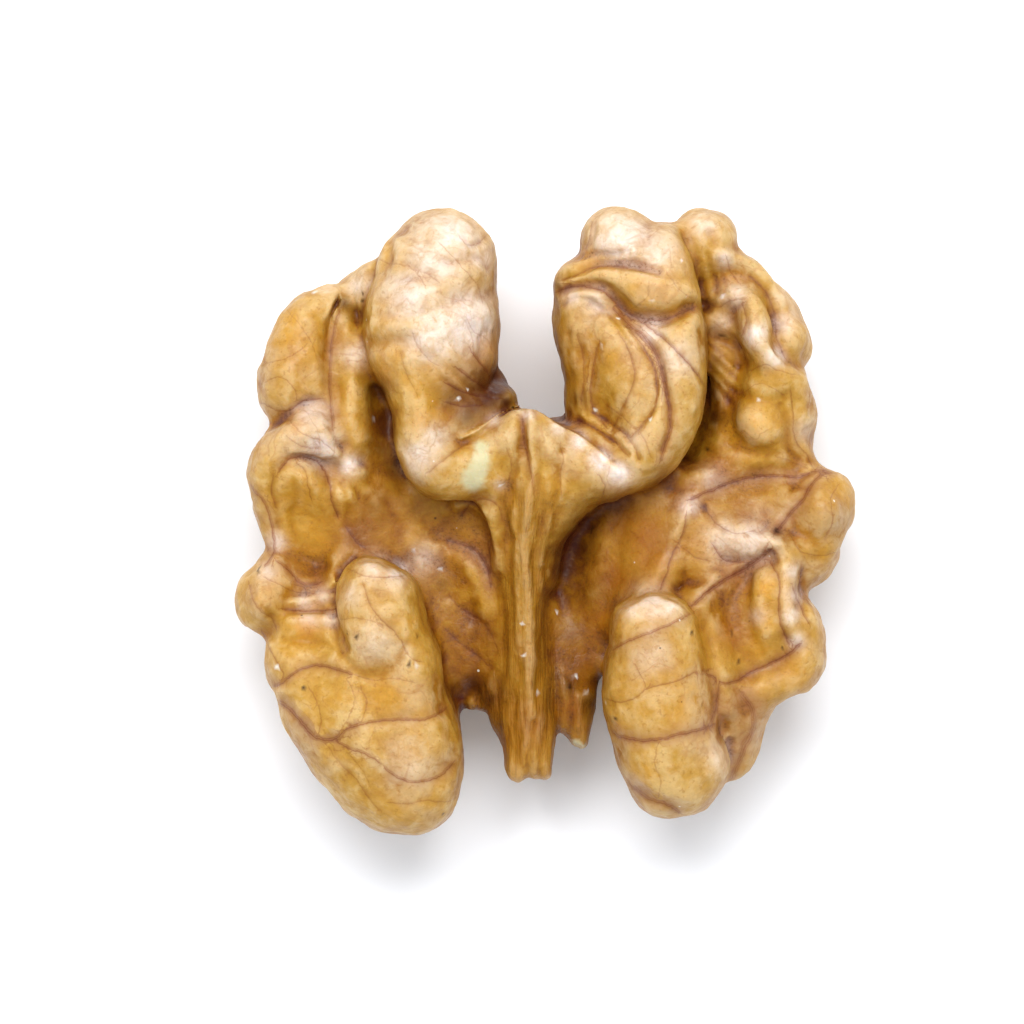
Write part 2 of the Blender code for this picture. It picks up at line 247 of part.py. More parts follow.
# Creases pressed into the upper side: half width, depth and the points of the crease.
CREASES = {
    "horn_brow": (0.38, 0.6, [(0.4, 11.5), (1.0, 11.8), (2.0, 11.9), (2.9, 11.6), (3.5, 11.0), (4.1, 10.4),
                              (5.2, 10.1), (6.2, 10.3), (7.2, 10.7), (7.9, 10.9)]),
    "horn_upper_fold": (0.34, 0.35, [(0.7, 12.2), (1.5, 12.5), (2.3, 13.0), (3.3, 13.1), (4.4, 12.9)]),
    "horn_pocket": (0.5, 0.55, [(3.4, 10.7), (4.0, 10.3), (4.6, 9.9)]),
    "horn_fan": (0.4, 0.2, [(4.4, 10.0), (5.2, 9.0), (5.6, 8.0), (5.9, 6.6), (6.1, 5.2), (5.9, 3.9)]),
    "horn_left_side": (0.9, 0.35, [(1.6, 8.4), (1.8, 7.2), (2.2, 6.0), (2.8, 4.9)]),
    "horn_foot": (0.35, 0.3, [(1.0, 5.5), (1.7, 4.9), (2.6, 4.1), (3.4, 3.2), (3.9, 2.5)]),
    "left_horn_low": (0.5, 0.2, [(-8.9, 9.2), (-7.9, 9.0), (-6.9, 9.2)]),
    "left_horn_shoulder": (0.4, 0.3, [(-7.9, 14.1), (-7.9, 13.4), (-8.2, 12.4)]),
    "left_pocket": (0.5, 0.3, [(-4.9, 4.9), (-4.0, 5.1), (-3.0, 5.8)]),
    "left_leaf": (0.33, 0.4, [(-9.9, 11.2), (-10.3, 10.4), (-10.7, 9.2), (-10.75, 7.6), (-10.6, 6.0),
                              (-10.55, 4.6)]),
    "leaf_brow": (0.35, 0.3, [(-13.8, 4.8), (-13.0, 5.4), (-12.2, 5.95), (-11.2, 6.05), (-10.7, 5.8)]),
    "brow_inner": (0.35, 0.25, [(-10.55, 4.6), (-10.4, 4.0), (-9.9, 3.3), (-9.4, 2.9)]),
    "brow_step": (0.35, 0.25, [(-13.3, 2.9), (-12.7, 3.3), (-11.9, 3.35), (-11.2, 2.9)]),
    "brow_left": (0.35, 0.2, [(-13.2, 3.0), (-13.6, 1.8), (-13.5, 0.6), (-13.2, -0.6)]),
    "mid_lobe": (0.4, 0.3, [(-11.0, 2.8), (-10.6, 1.8), (-10.1, 0.6), (-9.3, -0.8)]),
    "mid_lobe_left": (0.35, 0.15, [(-12.4, 2.4), (-12.3, 1.2), (-12.6, 0.2)]),
    "dish": (0.8, 0.35, [(-11.9, -1.9), (-11.6, -2.4)]),
    "valley_line": (0.4, 0.35, [(-6.4, 1.2), (-5.6, 0.3), (-5.15, -1.0), (-5.3, -2.2), (-4.9, -3.6)]),
    "knob_upper": (0.3, 0.3, [(-13.7, -2.2), (-13.0, -2.3), (-12.4, -2.8), (-11.4, -3.1), (-10.6, -2.9)]),
    "knob_lower": (0.3, 0.4, [(-13.2, -4.2), (-12.2, -4.2), (-11.2, -4.25), (-10.6, -4.2)]),
    "knob_side": (0.3, 0.25, [(-13.9, -2.9), (-13.7, -3.8), (-13.6, -4.8), (-14.0, -5.6)]),
    "step_lower": (0.35, 0.25, [(-13.1, -5.8), (-12.0, -5.9), (-11.0, -5.9), (-10.5, -6.3)]),
    "pad_left": (0.4, 0.4, [(-9.7, -1.9), (-10.35, -2.7), (-10.6, -3.7), (-10.5, -5.2), (-10.2, -6.2)]),
    "flank_top": (0.3, 0.2, [(-13.8, -8.1), (-12.8, -7.5), (-11.6, -7.1), (-10.5, -7.3), (-9.6, -7.5)]),
    "flank_vein": (0.35, 0.3, [(-13.8, -8.8), (-13.0, -9.2), (-12.3, -9.9), (-11.7, -10.6), (-11.0, -10.8),
                               (-10.4, -10.8), (-9.9, -10.3), (-9.0, -9.9)]),
    "pad_fold": (0.33, 0.3, [(-9.4, -10.0), (-8.2, -9.8), (-7.0, -9.65), (-6.0, -9.6), (-5.1, -9.3),
                             (-4.6, -9.0)]),
    "toe_fold": (0.35, 0.2, [(-10.2, -11.0), (-9.0, -11.5), (-8.0, -12.2), (-7.0, -12.8), (-5.8, -12.7),
                             (-4.6, -11.9)]),
    "crown_side": (0.35, 0.4, [(7.0, 14.6), (7.4, 13.6), (7.7, 12.8), (7.8, 12.0), (7.9, 11.2)]),
    "crown_pit": (0.45, 0.4, [(8.2, 14.4), (8.3, 14.0)]),
    "crown_fold": (0.35, 0.35, [(8.1, 13.4), (8.3, 12.6), (8.5, 12.0), (8.4, 11.6)]),
    "crown_dish": (0.4, 0.35, [(9.2, 12.5), (9.8, 12.3)]),
    "outer_fold": (0.35, 0.4, [(10.2, 12.3), (11.0, 11.5), (11.4, 10.4), (11.5, 9.3), (11.9, 8.3),
                               (12.6, 7.8)]),
    "crest_side": (0.35, 0.25, [(9.3, 10.6), (9.9, 10.9), (10.1, 10.1)]),
    "shelf_lower": (0.35, 0.2, [(8.1, 9.2), (9.0, 9.0), (9.7, 8.6)]),
    "bulge_top": (0.35, 0.25, [(9.9, 6.4), (10.8, 6.1), (11.9, 6.2)]),
    "bulge_right": (0.35, 0.25, [(11.7, 5.8), (12.1, 4.8), (12.0, 3.9), (12.6, 3.2)]),
    "bulge_lower": (0.4, 0.25, [(8.9, 4.0), (9.7, 3.7), (10.6, 3.5), (11.5, 3.4)]),
    "table_crease": (0.42, 0.4, [(7.3, 1.2), (8.1, 1.5), (8.9, 1.9), (10.0, 2.2), (11.4, 2.4), (12.6, 2.4),
                                 (13.6, 2.7)]),
    "ear_crease": (0.4, 0.35, [(13.5, 2.6), (13.0, 1.5), (12.4, 0.7), (11.9, 0.1), (11.5, -0.4)]),
    "ear_low": (0.35, 0.3, [(12.0, -0.9), (12.5, -1.8), (12.8, -3.0), (13.1, -3.9)]),
    "table_dish": (0.9, 0.25, [(9.6, 1.2), (10.8, 1.0)]),
    "lens_lower": (0.45, 0.3, [(10.9, -1.7), (10.3, -2.1), (9.3, -2.7), (8.3, -3.3), (7.3, -4.0)]),
    "spur_groove": (0.35, 0.2, [(11.3, -1.9), (11.5, -3.0), (11.4, -4.2), (11.7, -5.4), (12.1, -6.1)]),
    "spur_side": (0.35, 0.2, [(12.6, -1.6), (12.6, -3.0), (12.8, -4.2), (12.9, -5.2)]),
    "hip_vein": (0.35, 0.3, [(12.6, -6.2), (11.5, -6.9), (10.0, -7.6), (9.1, -8.0), (8.6, -7.8)]),
    "spur_inner_side": (0.4, 0.25, [(10.0, -2.8), (9.9, -4.0), (10.1, -5.4), (10.6, -6.5)]),
    "right_pad_side": (0.38, 0.35, [(7.2, -4.0), (7.9, -4.8), (8.2, -6.2), (8.5, -7.8), (8.7, -9.2),
                                    (9.1, -10.6), (9.4, -12.0)]),
    "right_pad_band": (0.32, 0.25, [(3.1, -10.3), (4.0, -10.7), (5.4, -10.8), (7.0, -10.4), (8.2, -10.0)]),
    "right_pad_toe": (0.35, 0.25, [(4.4, -13.4), (5.4, -13.9), (6.4, -14.3), (7.0, -14.5)]),
    "bridge_middle": (0.3, 0.25, [(-1.1, 5.2), (-1.0, 4.2), (-0.8, 3.2), (-0.7, 2.0)]),
    "bridge_left": (0.45, 0.3, [(-2.4, 3.6), (-2.1, 2.6), (-1.9, 1.4)]),
    "bridge_right": (0.4, 0.2, [(0.9, 3.6), (0.8, 2.6), (0.5, 1.4), (0.1, 0.2)]),
    "bridge_patch": (0.5, 0.15, [(-3.2, 3.6), (-3.5, 2.6), (-3.9, 2.0)]),
    "stem_left": (0.25, 0.15, [(-1.9, 1.6), (-1.9, -1.0), (-1.8, -4.0), (-1.6, -8.0), (-1.7, -11.5)]),
    "stem_middle": (0.22, 0.15, [(-1.0, 0.6), (-1.1, -3.0), (-1.0, -7.0), (-0.8, -11.5)]),
    "stem_right": (0.22, 0.15, [(-0.3, 1.0), (-0.5, -2.0), (-0.5, -6.0), (-0.2, -9.0), (0.2, -11.5)]),
}


# Furrows between the folds of the rounded outer side: half width, depth and points. They start at the rim.
FURROWS = {
    "left_first": (0.5, 1.0, [(-8.4, 13.8), (-7.4, 12.0), (-7.2, 10.4), (-6.0, 8.6), (-5.6, 6.8),
                              (-4.2, 5.6)]),
    "left_second": (0.5, 1.1, [(-11.2, 12.0), (-9.9, 10.2), (-9.4, 8.4), (-7.9, 7.4), (-7.3, 5.6),
                               (-5.4, 4.4), (-4.8, 2.4)]),
    "left_third": (0.5, 1.1, [(-14.1, 4.6), (-12.6, 5.2), (-11.2, 5.6), (-10.5, 3.9), (-9.0, 3.1),
                              (-8.3, 1.6), (-6.4, 1.3), (-5.4, -0.2)]),
    "left_fourth": (0.5, 1.1, [(-14.9, -1.3), (-13.2, -0.6), (-12.1, 0.5), (-10.7, -0.5), (-9.2, -0.8),
                               (-8.4, -2.2), (-6.8, -2.2), (-5.8, -3.8)]),
    "left_fifth": (0.5, 1.1, [(-14.9, -6.1), (-13.2, -5.4), (-11.9, -4.0), (-10.5, -5.1), (-9.2, -4.7),
                              (-8.0, -5.8), (-6.6, -6.4), (-5.6, -7.6)]),
    "left_sixth": (0.5, 1.0, [(-14.2, -9.0), (-12.0, -8.9), (-10.8, -7.4), (-9.6, -8.4), (-8.2, -8.2),
                              (-7.2, -9.8), (-6.2, -10.6)]),
    "left_seventh": (0.5, 0.9, [(-10.8, -13.6), (-9.9, -11.6), (-8.7, -11.2), (-7.6, -13.0)]),
    "left_short_one": (0.45, 0.8, [(-13.9, 8.4), (-12.2, 7.9), (-11.2, 8.6)]),
    "left_short_two": (0.45, 0.8, [(-14.9, 1.4), (-13.2, 2.2), (-12.1, 3.0), (-11.9, 1.8)]),
    "left_short_three": (0.45, 0.8, [(-10.6, 1.9), (-9.9, 1.0), (-8.8, 0.6)]),
    "left_short_four": (0.45, 0.8, [(-8.8, 6.0), (-8.9, 4.6), (-7.6, 3.4)]),
    "left_short_five": (0.45, 0.8, [(-10.9, -2.1), (-9.6, -2.8), (-8.9, -3.8)]),
    "right_first": (0.5, 1.0, [(6.0, 15.2), (6.5, 12.6), (5.5, 10.8), (5.4, 8.8), (4.1, 7.4), (3.7, 5.6)]),
    "right_second": (0.5, 1.1, [(11.4, 12.4), (9.8, 10.6), (8.3, 9.6), (7.9, 7.8), (6.5, 6.6), (6.1, 4.8),
                                (4.4, 3.8)]),
    "right_third": (0.5, 1.1, [(13.6, 7.4), (11.8, 7.2), (10.3, 6.6), (9.9, 4.6), (8.4, 3.9), (7.7, 2.3),
                               (6.1, 1.9), (5.1, 0.2)]),
    "right_fourth": (0.5, 1.1, [(14.3, 3.3), (12.9, 2.8), (12.2, 1.6), (10.8, 0.9), (9.7, 0.9), (8.7, -0.9),
                                (7.0, -1.2), (5.7, -2.9)]),
    "right_fifth": (0.5, 1.1, [(14.2, -4.2), (12.8, -2.9), (11.3, -2.6), (10.2, -3.3), (8.9, -3.2),
                               (8.1, -4.8), (6.5, -5.0), (5.3, -6.6)]),
    "right_sixth": (0.5, 1.0, [(12.6, -9.6), (11.3, -7.6), (10.7, -6.0), (9.4, -7.0), (8.4, -7.6),
                               (6.9, -9.2), (5.7, -9.4)]),
    "right_seventh": (0.5, 0.9, [(9.8, -13.4), (8.9, -11.6), (8.6, -10.4), (7.0, -10.6), (6.2, -12.0)]),
    "right_short_one": (0.45, 0.8, [(9.9, 13.8), (9.0, 12.2), (9.6, 11.6)]),
    "right_short_two": (0.45, 0.8, [(11.8, 5.4), (11.2, 4.2), (11.6, 3.2)]),
    "right_short_three": (0.45, 0.8, [(15.4, -1.0), (13.6, -0.6), (12.6, 0.2)]),
    "right_short_four": (0.45, 0.8, [(11.8, -1.3), (10.4, -1.3), (9.8, -0.4)]),
    "right_short_five": (0.45, 0.8, [(7.9, 6.2), (7.5, 4.6), (6.6, 3.6)]),
}


def spline(points, step):
    """Points of a smooth curve through the given points, about step apart in space."""
    keys = np.array(points, float)
    if len(keys) == 1:
        return keys
    padded = np.vstack([2 * keys[0] - keys[1], keys, 2 * keys[-1] - keys[-2]])
    made = []
    for before, start, end, after in zip(padded, padded[1:], padded[2:], padded[3:]):
        count = max(2, int(np.ceil(np.linalg.norm((end - start)[:3]) / step)))
        for t in np.linspace(0, 1, count, endpoint=False):
            made.append(
                0.5
                * (
                    2 * start
                    + (end - before) * t
                    + (2 * before - 5 * start + 4 * end - after) * t**2
                    + (3 * start - before - 3 * end + after) * t**3
                )
            )
    made.append(keys[-1])
    return np.array(made)


def string_beads(folds, facing):
    """A mesh of overlapping pillow-shaped beads along each fold. facing is 1 for tops, -1 for bottoms."""
    bm = bmesh.new()
    for points in folds.values():
        strand = bmesh.new()
        for x, y, height, half_width, half_depth in spline(points, BEAD_STEP):
            bead = bmesh.ops.create_icosphere(strand, subdivisions=3, radius=1)["verts"]
            for v in bead:
                v.co.z = v.co.z**FULLNESS if v.co.z > 0 and facing > 0 else v.co.z
            place = Matrix.Translation((x, y, height - facing * half_depth))
            shape = Matrix.Diagonal((half_width, half_width, half_depth, 1))
            bmesh.ops.transform(strand, matrix=place @ shape, verts=bead)
        strand_mesh = bpy.data.meshes.new("strand")
        strand.to_mesh(strand_mesh)
        strand.free()
        bm.from_mesh(strand_mesh)
        bpy.data.meshes.remove(strand_mesh)
    return bm


def fused_body():
    """All folds as one closed body, smoothed so that neighbours run into each other."""
    bm = bmesh.new()
    upper_sets = (CORE, UPPER_LEFT, UPPER_RIGHT, BRIDGE, OUTER_LEFT, LOWER_LEFT, OUTER_RIGHT, LOWER_RIGHT)
    for folds, facing in [(folds, 1) for folds in upper_sets] + [(UNDERSIDE, -1)]:
        beads = string_beads(folds, facing)
        mesh = bpy.data.meshes.new("beads")
        beads.to_mesh(mesh)
        beads.free()
        bm.from_mesh(mesh)
        bpy.data.meshes.remove(mesh)
    bmesh.ops.scale(bm, vec=(MM, MM, MM), verts=bm.verts)
    mesh = bpy.data.meshes.new("walnut_kernel")
    bm.to_mesh(mesh)
    bm.free()
    kernel = bpy.data.objects.new("walnut_kernel", mesh)
    bpy.context.scene.collection.objects.link(kernel)
    fuse = kernel.modifiers.new("fuse", "REMESH")
    fuse.mode = "VOXEL"
    fuse.voxel_size = VOXEL * MM
    relax = kernel.modifiers.new("relax", "SMOOTH")
    relax.factor = 0.5
    relax.iterations = SMOOTH_ROUNDS
    return kernel


def apply_modifiers(obj):
    """Replaces the object's mesh with what its modifiers make of it."""
    graph = bpy.context.evaluated_depsgraph_get()
    made = bpy.data.meshes.new_from_object(obj.evaluated_get(graph))
    old = obj.data
    obj.modifiers.clear()
    obj.data = made
    bpy.data.meshes.remove(old)


def distance_to_curve(places, curve):
    """Distance in plan from each place to the curve."""
    nearest = np.full(len(places), 1e9)
    for start, end in zip(curve, curve[1:]):
        along = end - start
        share = np.clip(((places - start) @ along) / (along @ along), 0, 1)
        gap = np.linalg.norm(places - (start + share[:, None] * along), axis=1)
        nearest = np.minimum(nearest, gap)
    return nearest


def press_creases(obj, creases, facing):
    """Presses each crease into the skin of one side, along the skin's own direction. facing is 1 for the top."""
    count = len(obj.data.vertices)
    co = np.empty(count * 3, np.float32)
    obj.data.vertices.foreach_get("co", co)
    co = co.reshape(-1, 3).astype(float) / MM
    normals = np.empty(count * 3, np.float32)
    obj.data.vertex_normals.foreach_get("vector", normals)
    normals = normals.reshape(-1, 3)
    if facing > 0:
        share = np.clip((normals[:, 2] - 0.15) / 0.4, 0, 1) * np.clip((co[:, 2] - 4.5) / 1.5, 0, 1)
    else:
        share = np.clip((0.3 - normals[:, 2]) / 0.4, 0, 1) * np.clip((9.5 - co[:, 2]) / 2.0, 0, 1)
    sink = np.zeros(count)
    for half_width, depth, points in creases.values():
        curve = spline(points, 0.4)
        near = np.all((co[:, :2] > curve.min(0) - 3 * half_width) & (co[:, :2] < curve.max(0) + 3 * half_width), axis=1)
        gap = distance_to_curve(co[near, :2], curve)
        sink[near] = np.maximum(sink[near], depth * np.exp(-((gap / half_width) ** 2)))
    co -= normals * (sink * share)[:, None]
    obj.data.vertices.foreach_set("co", (co * MM).astype(np.float32).ravel())
    obj.data.update()


def ease_skin(obj):
    """Knits the creased skin anew, so that it nowhere meets itself, and eases it."""
    knit = obj.modifiers.new("knit", "REMESH")
    knit.mode = "VOXEL"
    knit.voxel_size = VOXEL * MM
    ease = obj.modifiers.new("ease", "SMOOTH")
    ease.factor = 0.5
    ease.iterations = CREASE_ROUNDS
    apply_modifiers(obj)


def keep_outer_skin(obj):
    """Clears the walls of closed hollows between beads, which leaves the one outer skin."""
    bm = bmesh.new()
    bm.from_mesh(obj.data)
    left = set(bm.verts)
    shells = []
    while left:
        shell = {left.pop()}
        edge_of_shell = set(shell)
        while edge_of_shell:
            reached = {edge.other_vert(v) for v in edge_of_shell for edge in v.link_edges}
            edge_of_shell = reached - shell
            shell |= edge_of_shell
        left -= shell
        shells.append(shell)
    shells.sort(key=len)
    for shell in shells[:-1]:
        bmesh.ops.delete(bm, geom=list(shell), context="VERTS")
    bm.to_mesh(obj.data)
    bm.free()


def thin_out(obj):
    """Collapses edges until the mesh has about the wanted number of triangles."""
    faces = sum(len(p.vertices) - 2 for p in obj.data.polygons)
    thin = obj.modifiers.new("thin", "DECIMATE")
    thin.ratio = TRIANGLES / faces
    apply_modifiers(obj)


def flatten_feet(obj, depth):
    """Lays the lowest folds flat where the kernel rests, up to the depth."""
    co = np.empty(len(obj.data.vertices) * 3, np.float32)
    obj.data.vertices.foreach_get("co", co)
    co = co.reshape(-1, 3)
    lowest = co[:, 2].min()
    co[:, 2] = np.maximum(co[:, 2] - lowest - depth * MM, 0.0)
    obj.data.vertices.foreach_set("co", co.ravel())
    obj.data.update()


def fit_to_size(obj):
    """Brings the kernel to its measured size, centred in plan and standing on its feet."""
    co = np.empty(len(obj.data.vertices) * 3, np.float32)
    obj.data.vertices.foreach_get("co", co)
    co = co.reshape(-1, 3).astype(float)
    low, high = co.min(0), co.max(0)
    middle = (low + high) / 2
    middle[2] = low[2]
    wanted = np.array((KERNEL_WIDTH, KERNEL_LENGTH, KERNEL_HEIGHT)) * MM
    co = (co - middle) * (wanted / (high - low))
    obj.data.vertices.foreach_set("co", co.astype(np.float32).ravel())
    obj.data.update()


def skin_material():
    """Golden-brown waxy skin."""
    skin = bpy.data.materials.new("kernel_skin")
    skin.use_nodes = True
    shader = skin.node_tree.nodes["Principled BSDF"]
    shader.inputs["Base Color"].default_value = SKIN_COLOUR
    shader.inputs["Roughness"].default_value = 0.45
    shader.inputs["Metallic"].default_value = 0.0
    return skin


def main():
    for obj in list(bpy.data.objects):
        bpy.data.objects.remove(obj)
    kernel = fused_body()
    apply_modifiers(kernel)
    keep_outer_skin(kernel)
    press_creases(kernel, CREASES, 1)
    press_creases(kernel, FURROWS, -1)
    ease_skin(kernel)
    keep_outer_skin(kernel)
    flatten_feet(kernel, FOOT_DEPTH)
    thin_out(kernel)
    flatten_feet(kernel, FOOT_LEVELLING)
    fit_to_size(kernel)
    kernel.data.materials.append(skin_material())
    kernel.data.shade_smooth()


main()
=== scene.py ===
import math

import bmesh
import bpy
import numpy as np
from mathutils import Matrix, Vector, noise


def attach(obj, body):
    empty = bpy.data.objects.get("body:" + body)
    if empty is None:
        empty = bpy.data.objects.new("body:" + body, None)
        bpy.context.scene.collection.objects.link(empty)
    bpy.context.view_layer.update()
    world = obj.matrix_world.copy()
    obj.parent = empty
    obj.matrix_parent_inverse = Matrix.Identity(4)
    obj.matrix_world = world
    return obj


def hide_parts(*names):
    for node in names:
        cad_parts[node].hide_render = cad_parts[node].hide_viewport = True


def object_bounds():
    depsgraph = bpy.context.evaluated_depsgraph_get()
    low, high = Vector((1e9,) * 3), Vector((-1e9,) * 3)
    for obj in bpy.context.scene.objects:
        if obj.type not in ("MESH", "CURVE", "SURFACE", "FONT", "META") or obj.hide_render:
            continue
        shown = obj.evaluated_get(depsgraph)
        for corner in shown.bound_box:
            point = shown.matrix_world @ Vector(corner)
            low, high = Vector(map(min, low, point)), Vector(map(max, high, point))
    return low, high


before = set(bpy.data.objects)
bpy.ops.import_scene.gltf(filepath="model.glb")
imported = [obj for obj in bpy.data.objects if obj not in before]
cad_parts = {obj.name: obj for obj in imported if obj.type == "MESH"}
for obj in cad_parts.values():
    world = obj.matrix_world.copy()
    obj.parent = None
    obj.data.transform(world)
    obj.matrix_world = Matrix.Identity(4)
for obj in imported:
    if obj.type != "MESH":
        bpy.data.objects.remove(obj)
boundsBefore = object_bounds()

mm = 0.001

# One half of a walnut kernel. Everything here is in millimetres, read with the kernel's inner side seen
# from above: x to the right, y towards the notch. planShift brings those places onto the solid.
kernelPlan = {
    "planShift": (0.0, -0.115),
    "mergeGap": 1e-4,
    "knitSize": 0.13,
    "easeRounds": 14,
    "patchRounds": 160,
    "easeTilt": (-0.2, 0.4),
    "weightStep": 0.1,
    # a stroke drawn from above fades on steep skin and towards the underside: start and run
    "topTilt": (0.1, 0.4),
    "topHeight": (3.6, 1.5),
    "curveStep": 0.25,
    "strokeReach": 2.6,
    "grooveShare": 0.75,
    # lumps of the skin: size, height
    "lumps": ((2.4, 0.10), (1.1, 0.07), (0.5, 0.035)),
    "seed": 11,
    "boxGap": 0.005,
    # hollows are measured against copies eased this many rounds, with these weights
    "hollowRounds": ((12, 0.9), (60, 0.8), (300, 0.5)),
    "hollowCentile": 96,
    "triangles": 192000,
    "backThinning": 0.6,
    "backHeight": 3.5,
    "backTilt": -0.2,
}

# Runs that two of the tables below use: a groove with a vein in it, or a groove that is first filled.
runs = {
    "fanMiddle": [(3.6, 9.5), (4.1, 8.6), (4.4, 7.6), (4.2, 6.6), (3.7, 5.5), (3.3, 4.6)],
    "fanInner": [(2.6, 8.9), (2.4, 8.0), (2.3, 7.2), (2.2, 6.4), (2.4, 5.6), (3.0, 4.8)],
    "fanFootUpper": [(1.5, 5.2), (2.5, 4.7), (3.3, 4.1), (4.0, 3.4)],
    "fanFootLower": [(2.3, 5.5), (3.3, 4.9), (4.2, 4.1), (4.6, 3.2)],
    "leftHornFlank": [(-7.2, 8.4), (-7.0, 7.6), (-6.7, 7.0), (-6.4, 6.3)],
    "leftBrowInner": [(-12.4, 3.0), (-12.0, 2.6), (-11.9, 2.0), (-11.7, 1.2)],
    "leftFoldStep": [(-13.1, -4.25), (-12.2, -4.3), (-11.2, -4.3), (-10.6, -4.25)],
    "leftPadFork": [(-10.4, -10.9), (-9.8, -11.2), (-9.0, -11.45), (-8.3, -11.9), (-7.6, -12.5),
                    (-7.0, -12.8), (-6.2, -12.85), (-5.3, -12.6), (-4.7, -12.0)],
    "leftPadTip": [(-7.8, -13.9), (-6.8, -13.95), (-6.0, -13.8), (-5.0, -13.9), (-4.3, -13.6)],
    "leftPadRim": [(-10.8, -11.2), (-10.2, -12.0), (-9.4, -12.8), (-8.9, -13.6), (-8.3, -14.3)],
    "leftPadSpur": [(-11.8, -8.2), (-11.4, -8.9), (-11.2, -9.8), (-11.3, -10.4)],
    "tableSeam": [(7.3, 1.25), (8.2, 1.6), (9.2, 2.0), (10.4, 2.3), (11.6, 2.35), (12.6, 2.3),
                  (13.4, 2.6)],
    "tableBrow": [(13.9, 2.6), (13.3, 2.0), (12.9, 1.3), (12.3, 0.6), (11.9, 0.1), (11.5, -0.4)],
    "rightFoldStep": [(10.2, -2.6), (10.1, -4.0), (10.2, -5.4), (10.8, -6.5)],
    "rightPadCrease": [(3.1, -10.2), (3.6, -10.6), (4.6, -10.8), (5.6, -10.75), (6.6, -10.5), (7.5, -10.3),
                       (8.2, -10.1)],
    "bridgeFoot": [(2.6, 2.4), (2.9, 1.9), (2.8, 1.3)],
    "valleyLower": [(-5.0, -5.3), (-4.3, -6.0), (-3.4, -6.6), (-2.8, -7.2)],
}

